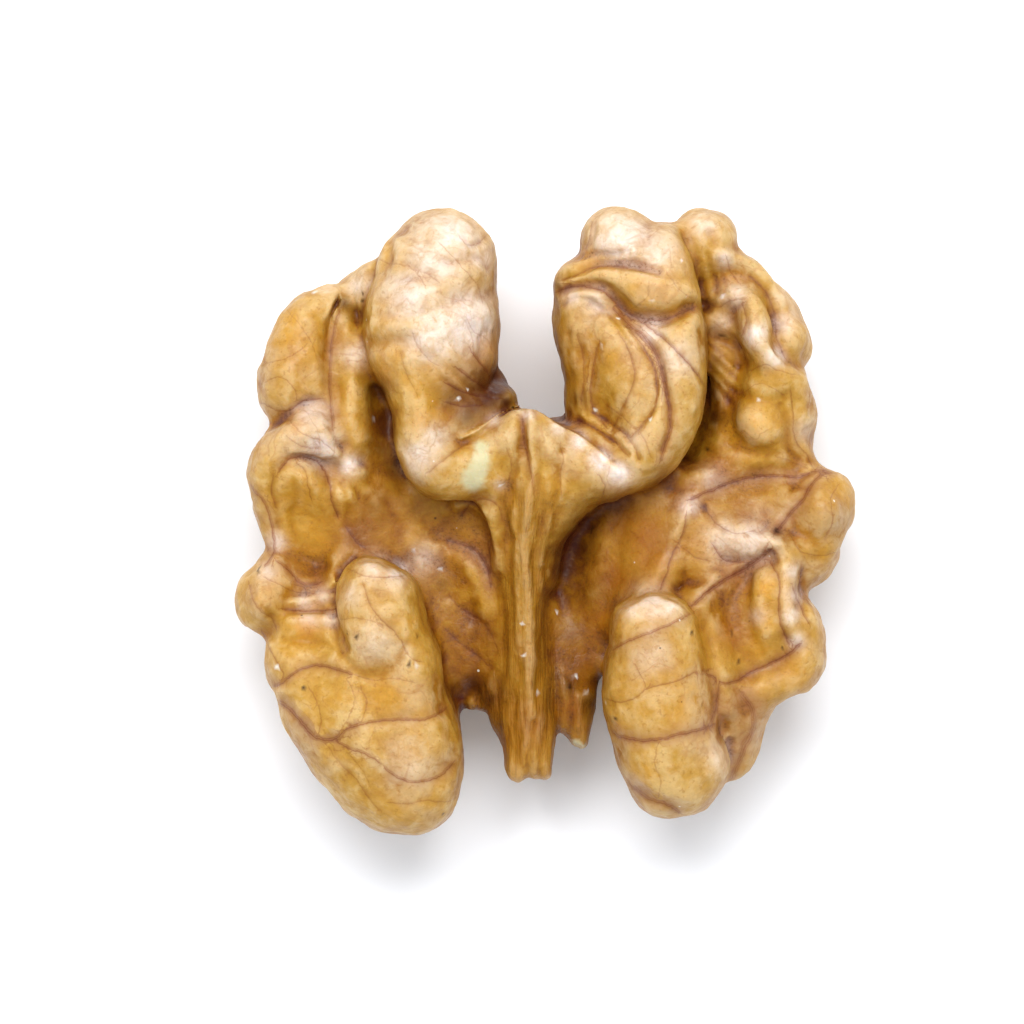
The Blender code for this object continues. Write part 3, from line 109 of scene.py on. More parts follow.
# Grooves pressed in: half width, depth, points.
grooves = [
    # brow over the right horn
    (0.28, 0.36, [(0.4, 11.5), (1.0, 11.8), (2.0, 11.9), (2.9, 11.6), (3.5, 11.0), (4.1, 10.4),
                  (5.2, 10.1), (6.2, 10.25), (7.2, 10.7), (7.8, 10.9)]),
    (0.26, 0.32, [(0.7, 12.2), (1.5, 12.5), (2.3, 12.9), (3.3, 13.0), (4.6, 12.8), (5.6, 12.5)]),
    (0.24, 0.25, [(1.3, 13.3), (2.2, 13.35), (3.2, 13.3), (4.0, 13.5)]),
    (0.22, 0.20, [(1.9, 13.7), (2.2, 14.3), (2.3, 15.0)]),
    (0.45, 0.16, [(3.4, 10.7), (4.0, 10.2), (4.6, 9.8)]),
    # fan of the right horn
    (0.20, 0.22, [(4.1, 9.9), (4.9, 9.2), (5.4, 8.5), (5.7, 7.6), (5.9, 6.7), (6.1, 5.7), (6.1, 4.7),
                  (5.8, 3.6)]),
    (0.18, 0.16, [(4.6, 10.0), (5.3, 9.6), (6.2, 8.8), (6.9, 8.1), (7.5, 7.4), (7.8, 6.9)]),
    (0.18, 0.18, [(4.2, 9.6), (4.8, 8.8), (5.3, 7.9), (5.5, 7.0), (5.4, 6.0), (4.8, 4.9), (4.1, 4.1)]),
    (0.20, 0.10, runs["fanMiddle"]),
    (0.22, 0.10, runs["fanInner"]),
    (0.25, 0.10, [(1.6, 9.3), (1.9, 8.2), (1.9, 7.2), (1.8, 6.2), (2.0, 5.4)]),
    (0.22, 0.10, [(1.1, 9.4), (1.0, 8.2), (1.1, 7.0), (1.3, 6.0)]),
    (0.20, 0.20, runs["fanFootUpper"]),
    (0.18, 0.16, runs["fanFootLower"]),
    (0.20, 0.18, [(2.2, 10.9), (3.0, 10.5), (3.6, 9.9), (4.2, 9.0)]),
    (0.20, 0.16, [(0.8, 10.9), (1.4, 11.2), (2.2, 11.0), (2.9, 10.4)]),
    # left horn
    (0.35, 0.12, [(-9.0, 9.2), (-8.2, 8.9), (-7.2, 9.1), (-6.4, 9.3)]),
    (0.30, 0.11, [(-9.3, 10.0), (-8.2, 10.35), (-7.0, 10.2), (-6.2, 10.3)]),
    (0.30, 0.30, [(-7.9, 14.1), (-7.9, 13.4), (-8.2, 12.4)]),
    (0.28, 0.13, [(-8.5, 12.3), (-7.4, 12.1), (-6.2, 12.2), (-5.4, 11.9)]),
    (0.25, 0.13, [(-5.0, 12.9), (-4.2, 13.0), (-3.4, 13.15), (-2.8, 12.6)]),
    (0.22, 0.10, [(-6.9, 12.9), (-6.2, 12.6), (-5.6, 12.2), (-4.6, 12.3), (-3.8, 12.0)]),
    (0.40, 0.12, [(-5.3, 11.4), (-4.4, 11.2), (-3.5, 11.2), (-2.7, 11.4)]),
    (0.20, 0.16, [(-4.2, 14.2), (-3.8, 13.8), (-3.4, 13.9), (-3.0, 14.3)]),
    (0.25, 0.16, [(-3.6, 9.7), (-3.2, 9.1), (-3.2, 8.3)]),
    (0.24, 0.16, runs["leftHornFlank"]),
    (0.24, 0.14, [(-6.6, 9.4), (-6.3, 8.7), (-5.8, 8.2)]),
    (0.20, 0.10, [(-5.2, 7.2), (-4.3, 6.4), (-3.6, 5.6)]),
    (0.18, 0.10, [(-4.4, 7.3), (-3.7, 6.6), (-3.0, 5.9)]),
    (0.16, 0.09, [(-3.6, 7.4), (-3.1, 6.8), (-2.5, 6.1)]),
    # upper left leaf and its inner fold
    (0.24, 0.10, [(-9.9, 11.3), (-10.3, 10.4), (-10.7, 9.2), (-10.8, 7.6), (-10.65, 6.0), (-10.6, 4.6)]),
    (0.28, 0.14, [(-10.35, 10.9), (-10.0, 11.3)]),
    (0.22, 0.14, [(-13.8, 4.8), (-13.0, 5.4), (-12.2, 5.95), (-11.2, 6.05), (-10.75, 5.8)]),
    (0.20, 0.12, [(-10.6, 4.6), (-10.4, 4.0), (-9.9, 3.35), (-9.3, 2.9)]),
    (0.24, 0.05, [(-13.9, 7.1), (-13.4, 7.3), (-12.9, 7.1), (-12.5, 6.6)]),
    (0.24, 0.05, [(-13.9, 8.0), (-13.0, 8.2), (-12.2, 8.6)]),
    # brow on the left
    (0.24, 0.12, [(-13.3, 2.7), (-12.9, 3.15), (-12.3, 3.3), (-11.6, 3.2), (-11.1, 2.7), (-10.8, 2.0),
                  (-10.7, 1.2), (-10.4, 0.4)]),
    (0.20, 0.08, runs["leftBrowInner"]),
    (0.22, 0.10, [(-13.5, 2.8), (-13.7, 1.7), (-13.5, 0.9), (-13.4, -0.2)]),
    (0.20, 0.08, [(-12.6, 2.2), (-12.5, 1.2), (-12.7, 0.2), (-12.5, -0.8)]),
    (0.22, 0.08, [(-10.2, 2.0), (-9.9, 1.0), (-10.0, 0.0)]),
    (0.30, 0.10, [(-13.4, -1.9), (-12.9, -2.3), (-12.5, -2.8), (-12.0, -3.1), (-11.4, -3.0),
                  (-10.7, -2.9)]),
    (0.20, 0.07, [(-12.2, -1.6), (-11.6, -2.0), (-11.5, -2.5)]),
    (0.25, 0.10, [(-9.9, -0.2), (-9.5, -0.8), (-9.1, -1.2)]),
    (0.22, 0.12, runs["leftFoldStep"]),
    (0.20, 0.09, [(-14.6, -3.2), (-14.4, -3.8), (-13.9, -4.4), (-13.5, -5.0), (-13.6, -5.8)]),
    (0.25, 0.10, [(-13.1, -5.8), (-12.0, -5.95), (-11.0, -5.9), (-10.5, -6.3)]),
    (0.22, 0.06, [(-12.9, -6.2), (-12.6, -6.8), (-12.0, -7.1)]),
    # lower left pad
    (0.26, 0.22, [(-9.6, -1.7), (-10.3, -2.5), (-10.65, -3.6), (-10.6, -5.0), (-10.4, -6.1),
                  (-9.9, -6.9)]),
    (0.20, 0.05, [(-9.8, -2.4), (-9.0, -2.6), (-7.8, -2.75), (-6.9, -2.7)]),
    (0.32, 0.16, [(-10.3, -5.9), (-9.9, -6.9), (-9.0, -7.5), (-8.0, -7.4), (-7.3, -6.8), (-6.9, -6.0)]),
    (0.20, 0.06, [(-9.1, -3.0), (-8.8, -3.9), (-8.3, -4.7), (-7.6, -5.3), (-7.1, -6.0), (-6.3, -6.8)]),
    (0.22, 0.08, [(-13.8, -8.2), (-13.2, -8.0), (-12.7, -7.6), (-12.0, -7.2), (-11.2, -7.1), (-10.4, -7.3),
                  (-9.4, -7.5)]),
    (0.30, 0.08, [(-13.9, -8.7), (-13.2, -9.0), (-12.6, -9.5), (-12.0, -10.1), (-11.6, -10.6),
                  (-11.0, -10.8), (-10.4, -10.7), (-10.0, -10.3), (-9.2, -10.0)]),
    (0.28, 0.06, [(-9.2, -10.0), (-8.4, -9.85), (-7.2, -9.75), (-6.3, -9.75), (-5.6, -9.55),
                  (-5.0, -9.2)]),
    (0.28, 0.05, runs["leftPadFork"]),
    (0.20, 0.05, runs["leftPadTip"]),
    (0.22, 0.06, runs["leftPadRim"]),
    (0.18, 0.04, [(-9.9, -11.4), (-9.2, -12.2), (-8.8, -13.0), (-8.0, -13.6)]),
    (0.20, 0.05, runs["leftPadSpur"]),
    (0.20, 0.05, [(-9.2, -8.2), (-8.9, -8.9), (-9.1, -9.6)]),
    # crown and outer folds on the right
    (0.28, 0.16, [(7.0, 14.5), (7.35, 13.6), (7.65, 12.8), (7.7, 12.0), (7.9, 11.2)]),
    (0.30, 0.14, [(8.2, 14.45), (8.35, 14.05)]),
    (0.26, 0.07, [(7.1, 14.9), (7.3, 14.4)]),
    (0.22, 0.12, [(8.05, 13.4), (8.25, 12.6), (8.5, 12.0), (8.4, 11.6)]),
    (0.20, 0.09, [(8.6, 13.2), (8.75, 12.6), (8.9, 12.1)]),
    (0.28, 0.11, [(9.1, 12.6), (9.6, 12.4), (10.0, 12.2)]),
    (0.24, 0.16, [(10.2, 12.3), (11.0, 11.5), (11.35, 10.4), (11.5, 9.3), (11.9, 8.3), (12.7, 7.8)]),
    (0.20, 0.09, [(9.3, 10.6), (9.9, 10.9), (10.1, 10.1), (9.9, 9.2)]),
    (0.24, 0.10, [(8.1, 9.35), (9.0, 9.1), (9.6, 8.8)]),
    (0.20, 0.08, [(8.1, 11.0), (8.6, 10.8), (9.1, 11.0)]),
    # gully beside the right horn
    (0.16, 0.09, [(8.1, 9.0), (8.8, 8.4), (9.6, 7.8)]),
    (0.16, 0.09, [(8.1, 8.5), (8.8, 7.9), (9.5, 7.2)]),
    (0.16, 0.08, [(8.1, 8.0), (8.7, 7.3), (9.4, 6.6)]),
    (0.16, 0.08, [(8.0, 7.4), (8.6, 6.8), (9.1, 6.1)]),
    (0.30, 0.12, [(8.4, 5.9), (8.4, 5.2), (8.3, 4.6)]),
    # golden bulge and waist
    (0.28, 0.10, [(9.8, 6.4), (10.7, 6.15), (11.8, 6.25)]),
    (0.28, 0.12, [(11.7, 5.9), (12.05, 4.9), (12.0, 3.9), (12.6, 3.2)]),
    (0.28, 0.15, [(8.9, 4.0), (9.6, 3.7), (10.5, 3.5), (11.5, 3.4)]),
    (0.18, 0.07, [(12.6, 5.6), (12.4, 4.6), (12.7, 3.6), (13.4, 2.9)]),
    (0.18, 0.06, [(12.2, 6.9), (12.3, 5.8), (12.2, 4.8)]),
    # table on the right
    (0.26, 0.18, runs["tableSeam"]),
    (0.30, 0.14, runs["tableBrow"]),
    (0.22, 0.08, [(7.9, 0.8), (8.5, 0.0), (9.4, -0.5), (10.4, -0.4), (11.0, -0.2)]),
    (0.22, 0.09, [(8.3, -1.1), (8.9, -1.75), (9.8, -1.9), (10.6, -1.7), (11.1, -1.1)]),
    (0.22, 0.08, [(7.0, -0.1), (6.6, -1.0), (6.2, -1.8), (6.0, -2.6), (5.7, -3.2)]),
    (0.20, 0.05, [(6.5, -0.9), (7.3, -1.6), (8.2, -1.9)]),
    (0.26, 0.18, [(11.1, -1.5), (10.5, -1.95), (9.7, -2.4), (9.0, -2.8), (8.2, -3.3), (7.4, -4.0)]),
    (0.22, 0.10, [(11.9, -0.8), (12.5, -1.8), (12.75, -3.0), (12.9, -4.2), (13.2, -5.0)]),
    (0.22, 0.10, [(11.3, -1.9), (11.6, -3.0), (11.6, -4.2), (11.8, -5.4), (12.2, -6.1)]),
    (0.24, 0.10, runs["rightFoldStep"]),
    (0.24, 0.10, [(12.5, -6.2), (12.0, -6.6), (11.2, -7.0), (10.3, -7.4), (9.6, -7.8), (9.0, -8.0),
                  (8.6, -7.8)]),
    (0.22, 0.08, [(8.7, -8.2), (8.6, -9.0), (8.4, -9.7)]),
    (0.30, 0.12, [(9.3, -8.2), (9.8, -9.2), (10.0, -10.4), (9.7, -11.6), (9.5, -12.6)]),
    (0.20, 0.06, [(12.6, -1.2), (13.3, -1.7), (14.2, -1.5)]),
    # lower right pad
    (0.28, 0.18, [(7.2, -4.1), (7.9, -4.8), (8.25, -6.2), (8.5, -7.8), (8.7, -9.2), (9.1, -10.6),
                  (9.35, -12.0)]),
    (0.30, 0.05, runs["rightPadCrease"]),
    (0.26, 0.03, [(3.3, -6.3), (4.2, -5.8), (5.0, -5.5), (5.8, -5.2), (6.6, -4.8), (7.2, -4.4)]),
    (0.18, 0.04, [(2.9, -8.7), (3.6, -8.9), (4.4, -8.7), (5.0, -8.2), (5.8, -8.0), (6.6, -7.8),
                  (7.4, -7.4)]),
    (0.26, 0.09, [(4.4, -13.2), (5.2, -13.8), (6.0, -14.05), (6.6, -14.4)]),
    (0.20, 0.04, [(5.6, -11.2), (5.4, -12.0), (5.7, -12.8)]),
    (0.20, 0.05, [(7.9, -11.0), (7.7, -12.0), (7.9, -12.9)]),
    # bridge
    (0.34, 0.32, [(-1.15, 5.2), (-1.25, 4.0), (-1.5, 2.8), (-1.9, 1.6), (-2.1, 0.4), (-2.0, -0.8)]),
    (0.24, 0.09, [(-1.9, 3.6), (-1.7, 2.8), (-1.9, 2.0), (-2.0, 1.0)]),
    (0.22, 0.06, [(0.7, 3.9), (0.85, 3.2), (0.7, 2.4), (0.6, 1.4)]),
    (0.18, 0.05, [(-5.8, 2.6), (-4.9, 3.3), (-4.0, 4.0)]),
    (0.18, 0.05, runs["bridgeFoot"]),
    # left valley
    (0.25, 0.09, [(-4.9, -0.9), (-4.0, -1.1), (-3.3, -1.6), (-2.9, -2.4)]),
    (0.22, 0.07, [(-4.8, -3.7), (-4.2, -4.3), (-3.3, -4.8), (-2.7, -5.6)]),
    (0.22, 0.07, runs["valleyLower"]),
    (0.22, 0.09, [(-4.2, 0.4), (-3.7, 1.05), (-3.0, 1.2), (-2.4, 0.8)]),
    (0.25, 0.07, [(-8.0, 1.2), (-7.6, 0.2), (-7.2, -0.8)]),
    (0.25, 0.07, [(-6.6, 1.0), (-6.0, 0.0), (-5.4, -1.0), (-5.2, -2.2)]),
]

# Pulp in the pocket beside the notch, at the top of the left gap and beside the right pad: x, y, height,
# radius.
pocketBeads = [
    (-5.0, 5.2, 10.6, 1.3), (-4.4, 5.1, 10.3, 1.4), (-3.8, 5.3, 10.0, 1.4), (-3.2, 5.5, 9.6, 1.4),
    (-2.6, 5.9, 9.0, 1.3), (-2.9, 6.9, 8.4, 1.0), (-2.3, 6.0, 8.5, 0.9), (-3.9, -8.6, 5.6, 0.8),
    (-3.5, -8.8, 5.9, 0.7), (7.5, -4.0, 9.3, 1.0), (7.9, -4.8, 9.1, 1.2), (8.1, -5.7, 9.1, 1.2),
    (8.3, -6.7, 9.2, 1.2), (8.5, -7.7, 9.2, 1.2), (8.7, -8.8, 9.0, 1.2),
]

# Low ground raised before easing: half width, height, points.
fills = [
    (0.55, 0.85, [(-10.1, 11.0), (-10.4, 10.0), (-10.75, 8.6), (-10.85, 7.0), (-10.7, 5.6), (-10.6, 4.6)]),
    (0.90, 0.70, [(-12.4, 2.2), (-11.4, 2.3), (-10.2, 1.6)]),
    (0.60, 0.50, [(-10.0, 2.4), (-9.2, 1.8), (-8.6, 1.0)]),
    (0.35, 0.50, runs["tableSeam"]),
    (0.45, 0.70, [(13.6, 2.4), (13.3, 2.0), (12.9, 1.3), (12.3, 0.6), (11.9, 0.1), (11.5, -0.4)]),
    (0.45, 0.80, [(11.3, -0.9), (10.5, -1.9), (9.7, -2.4), (9.0, -2.8), (8.2, -3.3), (7.4, -4.0)]),
    (0.55, 0.55, [(11.5, -2.0), (11.6, -3.4), (11.7, -5.0)]),
    (0.45, 0.45, runs["rightFoldStep"]),
    (0.60, 0.65, [(12.9, -1.4), (13.1, -3.0), (13.3, -4.6)]),
    (0.80, 0.45, [(14.3, -1.2), (13.8, -2.6)]),
    (0.35, 0.50, [(8.0, -4.9), (8.3, -6.2), (8.55, -7.8), (8.7, -9.2), (9.1, -10.6)]),
    (0.40, 0.40, [(8.9, 4.0), (9.6, 3.7), (10.5, 3.4), (11.5, 3.4)]),
    (0.60, 0.80, [(-3.6, 5.7), (-2.6, 6.3), (-2.0, 6.3)]),
    (0.45, 0.45, [(-5.2, 4.9), (-4.6, 4.7), (-4.0, 4.8), (-3.4, 5.1), (-2.8, 5.5)]),
    (0.35, 0.40, runs["leftFoldStep"]),
    (0.35, 0.45, [(-13.4, -1.9), (-12.5, -2.8), (-11.4, -3.0), (-10.7, -2.9)]),
    # creases of the lower pads, nearly filled
    (0.35, 0.22, [(3.1, -10.2), (3.6, -10.6), (4.6, -10.8), (5.6, -10.75), (6.6, -10.5), (7.5, -10.3)]),
    (0.35, 0.20, [(3.3, -6.3), (4.2, -5.8), (5.0, -5.5), (5.8, -5.2), (6.6, -4.8)]),
    (0.35, 0.20, [(-9.3, -10.0), (-8.4, -9.85), (-7.2, -9.75), (-6.3, -9.8), (-5.6, -9.6)]),
    (0.35, 0.22, [(-12.6, -9.5), (-12.0, -10.1), (-11.6, -10.6), (-11.0, -10.8), (-10.4, -10.7),
                  (-10.1, -10.3)]),
    (0.35, 0.18, [(-9.8, -11.2), (-9.0, -11.45), (-8.3, -11.9), (-7.6, -12.5), (-7.0, -12.8),
                  (-6.2, -12.85)]),
    (0.50, 0.50, [(7.3, -4.1), (7.9, -4.7), (8.3, -5.6), (8.5, -7.0), (8.7, -8.6), (9.0, -10.2)]),
]

# Low relief, eased more than the rest: x, y, radius, share.
easedPatches = [
    (-4.6, -1.6, 2.2, 1.0), (-4.2, -4.6, 2.0, 1.0), (-3.6, -7.2, 1.4, 1.0), (-6.8, 0.4, 1.6, 1.0),
    (-8.6, -0.4, 1.4, 0.8), (3.4, -2.2, 1.8, 1.0), (5.2, -0.2, 1.8, 1.0), (2.2, -5.0, 1.4, 1.0),
    (1.6, -7.2, 1.2, 0.8), (-12.0, 0.2, 1.8, 0.9), (10.2, 0.9, 1.8, 0.8), (9.2, -0.8, 1.8, 0.8),
    (12.6, -3.0, 2.4, 0.5), (10.6, -4.8, 2.2, 0.6), (13.8, 0.6, 1.8, 0.6), (11.0, -7.6, 1.8, 0.5),
    (9.4, -4.0, 1.4, 0.5), (10.8, 4.6, 1.9, 0.6), (12.2, 6.8, 1.5, 0.5), (9.0, 2.6, 1.2, 0.5),
    (9.6, 11.8, 1.6, 0.25), (-10.9, 8.2, 1.8, 0.7), (-10.6, 5.4, 1.3, 0.5), (-11.6, 2.4, 1.8, 0.6),
    (-12.4, -3.2, 1.6, 0.4), (-12.0, -5.6, 1.5, 0.4), (6.9, 0.4, 1.0, 0.6), (-3.7, 5.4, 1.3, 1.0),
    (-5.2, 4.9, 0.8, 0.7), (5.4, -7.2, 2.0, 0.6), (6.0, -10.6, 2.4, 0.7), (8.4, -6.4, 1.3, 0.9),
    (8.9, -8.8, 1.5, 0.9), (7.9, -4.4, 1.1, 0.9), (-8.2, -11.6, 3.0, 0.6), (-10.8, -8.6, 2.0, 0.6),
    (-7.0, -7.6, 1.8, 0.4),
]

# Crests raised: half width, height, points.
crests = [
    (0.20, 0.24, [(-4.2, 4.3), (-3.4, 4.6), (-2.3, 5.25), (-0.9, 5.75), (0.3, 4.95), (1.5, 4.15),
                  (2.6, 3.35), (3.6, 2.5)]),
    # head of the stem
    (0.22, 0.26, [(-0.85, 5.5), (-0.7, 4.0), (-0.6, 2.6), (-0.85, 1.0), (-1.05, -0.8), (-1.0, -2.8),
                  (-0.95, -5.0), (-0.85, -7.4), (-0.7, -9.6)]),
    (0.30, 0.26, [(-4.4, 0.9), (-3.4, 1.0), (-2.7, 0.4), (-2.45, -0.7), (-2.3, -2.2)]),
    (0.25, 0.15, [(0.9, 3.2), (0.75, 1.6), (0.1, 0.0), (-0.3, -2.0)]),
    (0.45, 0.22, [(-5.4, -1.2), (-4.3, -1.7), (-3.5, -2.7), (-3.0, -4.2)]),
    (0.80, 0.35, [(10.3, 5.2), (10.9, 4.5)]),
    # broad rises on the left horn
    (0.70, 0.22, [(-8.7, 12.8), (-8.9, 11.4), (-8.7, 10.0)]),
    (0.55, 0.20, [(-7.0, 13.6), (-5.6, 13.5), (-4.2, 14.0)]),
    (0.60, 0.20, [(-6.6, 11.2), (-5.2, 11.6), (-3.6, 12.4)]),
    (0.55, 0.18, [(-7.6, 9.8), (-6.0, 9.7), (-4.4, 10.3), (-3.0, 10.4)]),
    (0.45, 0.18, [(-6.9, 8.0), (-6.6, 6.8), (-6.3, 5.6), (-6.4, 4.2)]),
    (0.30, 0.15, [(-9.9, 3.5), (-9.5, 2.9), (-9.2, 2.6)]),
    (0.25, 0.15, [(-12.6, 3.65), (-11.4, 3.6), (-10.4, 3.5)]),
    (0.20, 0.15, [(-12.7, -3.95), (-12.0, -3.85), (-11.3, -3.7), (-10.7, -3.6)]),
    (0.22, 0.15, [(-12.8, -4.85), (-11.6, -4.75), (-10.6, -4.85)]),
    (0.40, 0.08, [(12.0, -1.2), (12.3, -2.4), (12.15, -3.6), (12.15, -4.6), (12.45, -5.6)]),
    (0.50, 0.30, [(10.9, -2.6), (10.8, -4.0), (11.0, -5.3)]),
    (0.30, 0.12, [(10.2, 10.8), (10.3, 9.8), (10.8, 8.8), (11.4, 8.1)]),
    (0.30, 0.12, [(7.1, 1.0), (6.9, 0.2), (6.5, -0.6)]),
    (0.35, 0.15, [(4.2, 12.2), (5.4, 12.0), (6.6, 11.6)]),
    (0.40, 0.12, [(7.0, 9.6), (7.4, 8.4), (7.4, 7.0), (7.2, 5.8)]),
    (0.35, 0.12, [(-9.5, 9.0), (-9.6, 7.4), (-9.7, 5.6), (-9.5, 4.2)]),
    (0.45, 0.12, [(-6.9, 6.8), (-6.8, 5.6), (-6.7, 4.4)]),
    (0.28, 0.14, [(8.7, 13.4), (9.3, 13.3), (10.2, 12.9), (11.0, 12.2)]),
    (0.5, 0.14, [(-9.2, -2.2), (-8.2, -2.3), (-7.4, -2.9)]),
    (0.5, 0.12, [(4.4, -4.2), (5.4, -3.9), (6.4, -4.2)]),
]

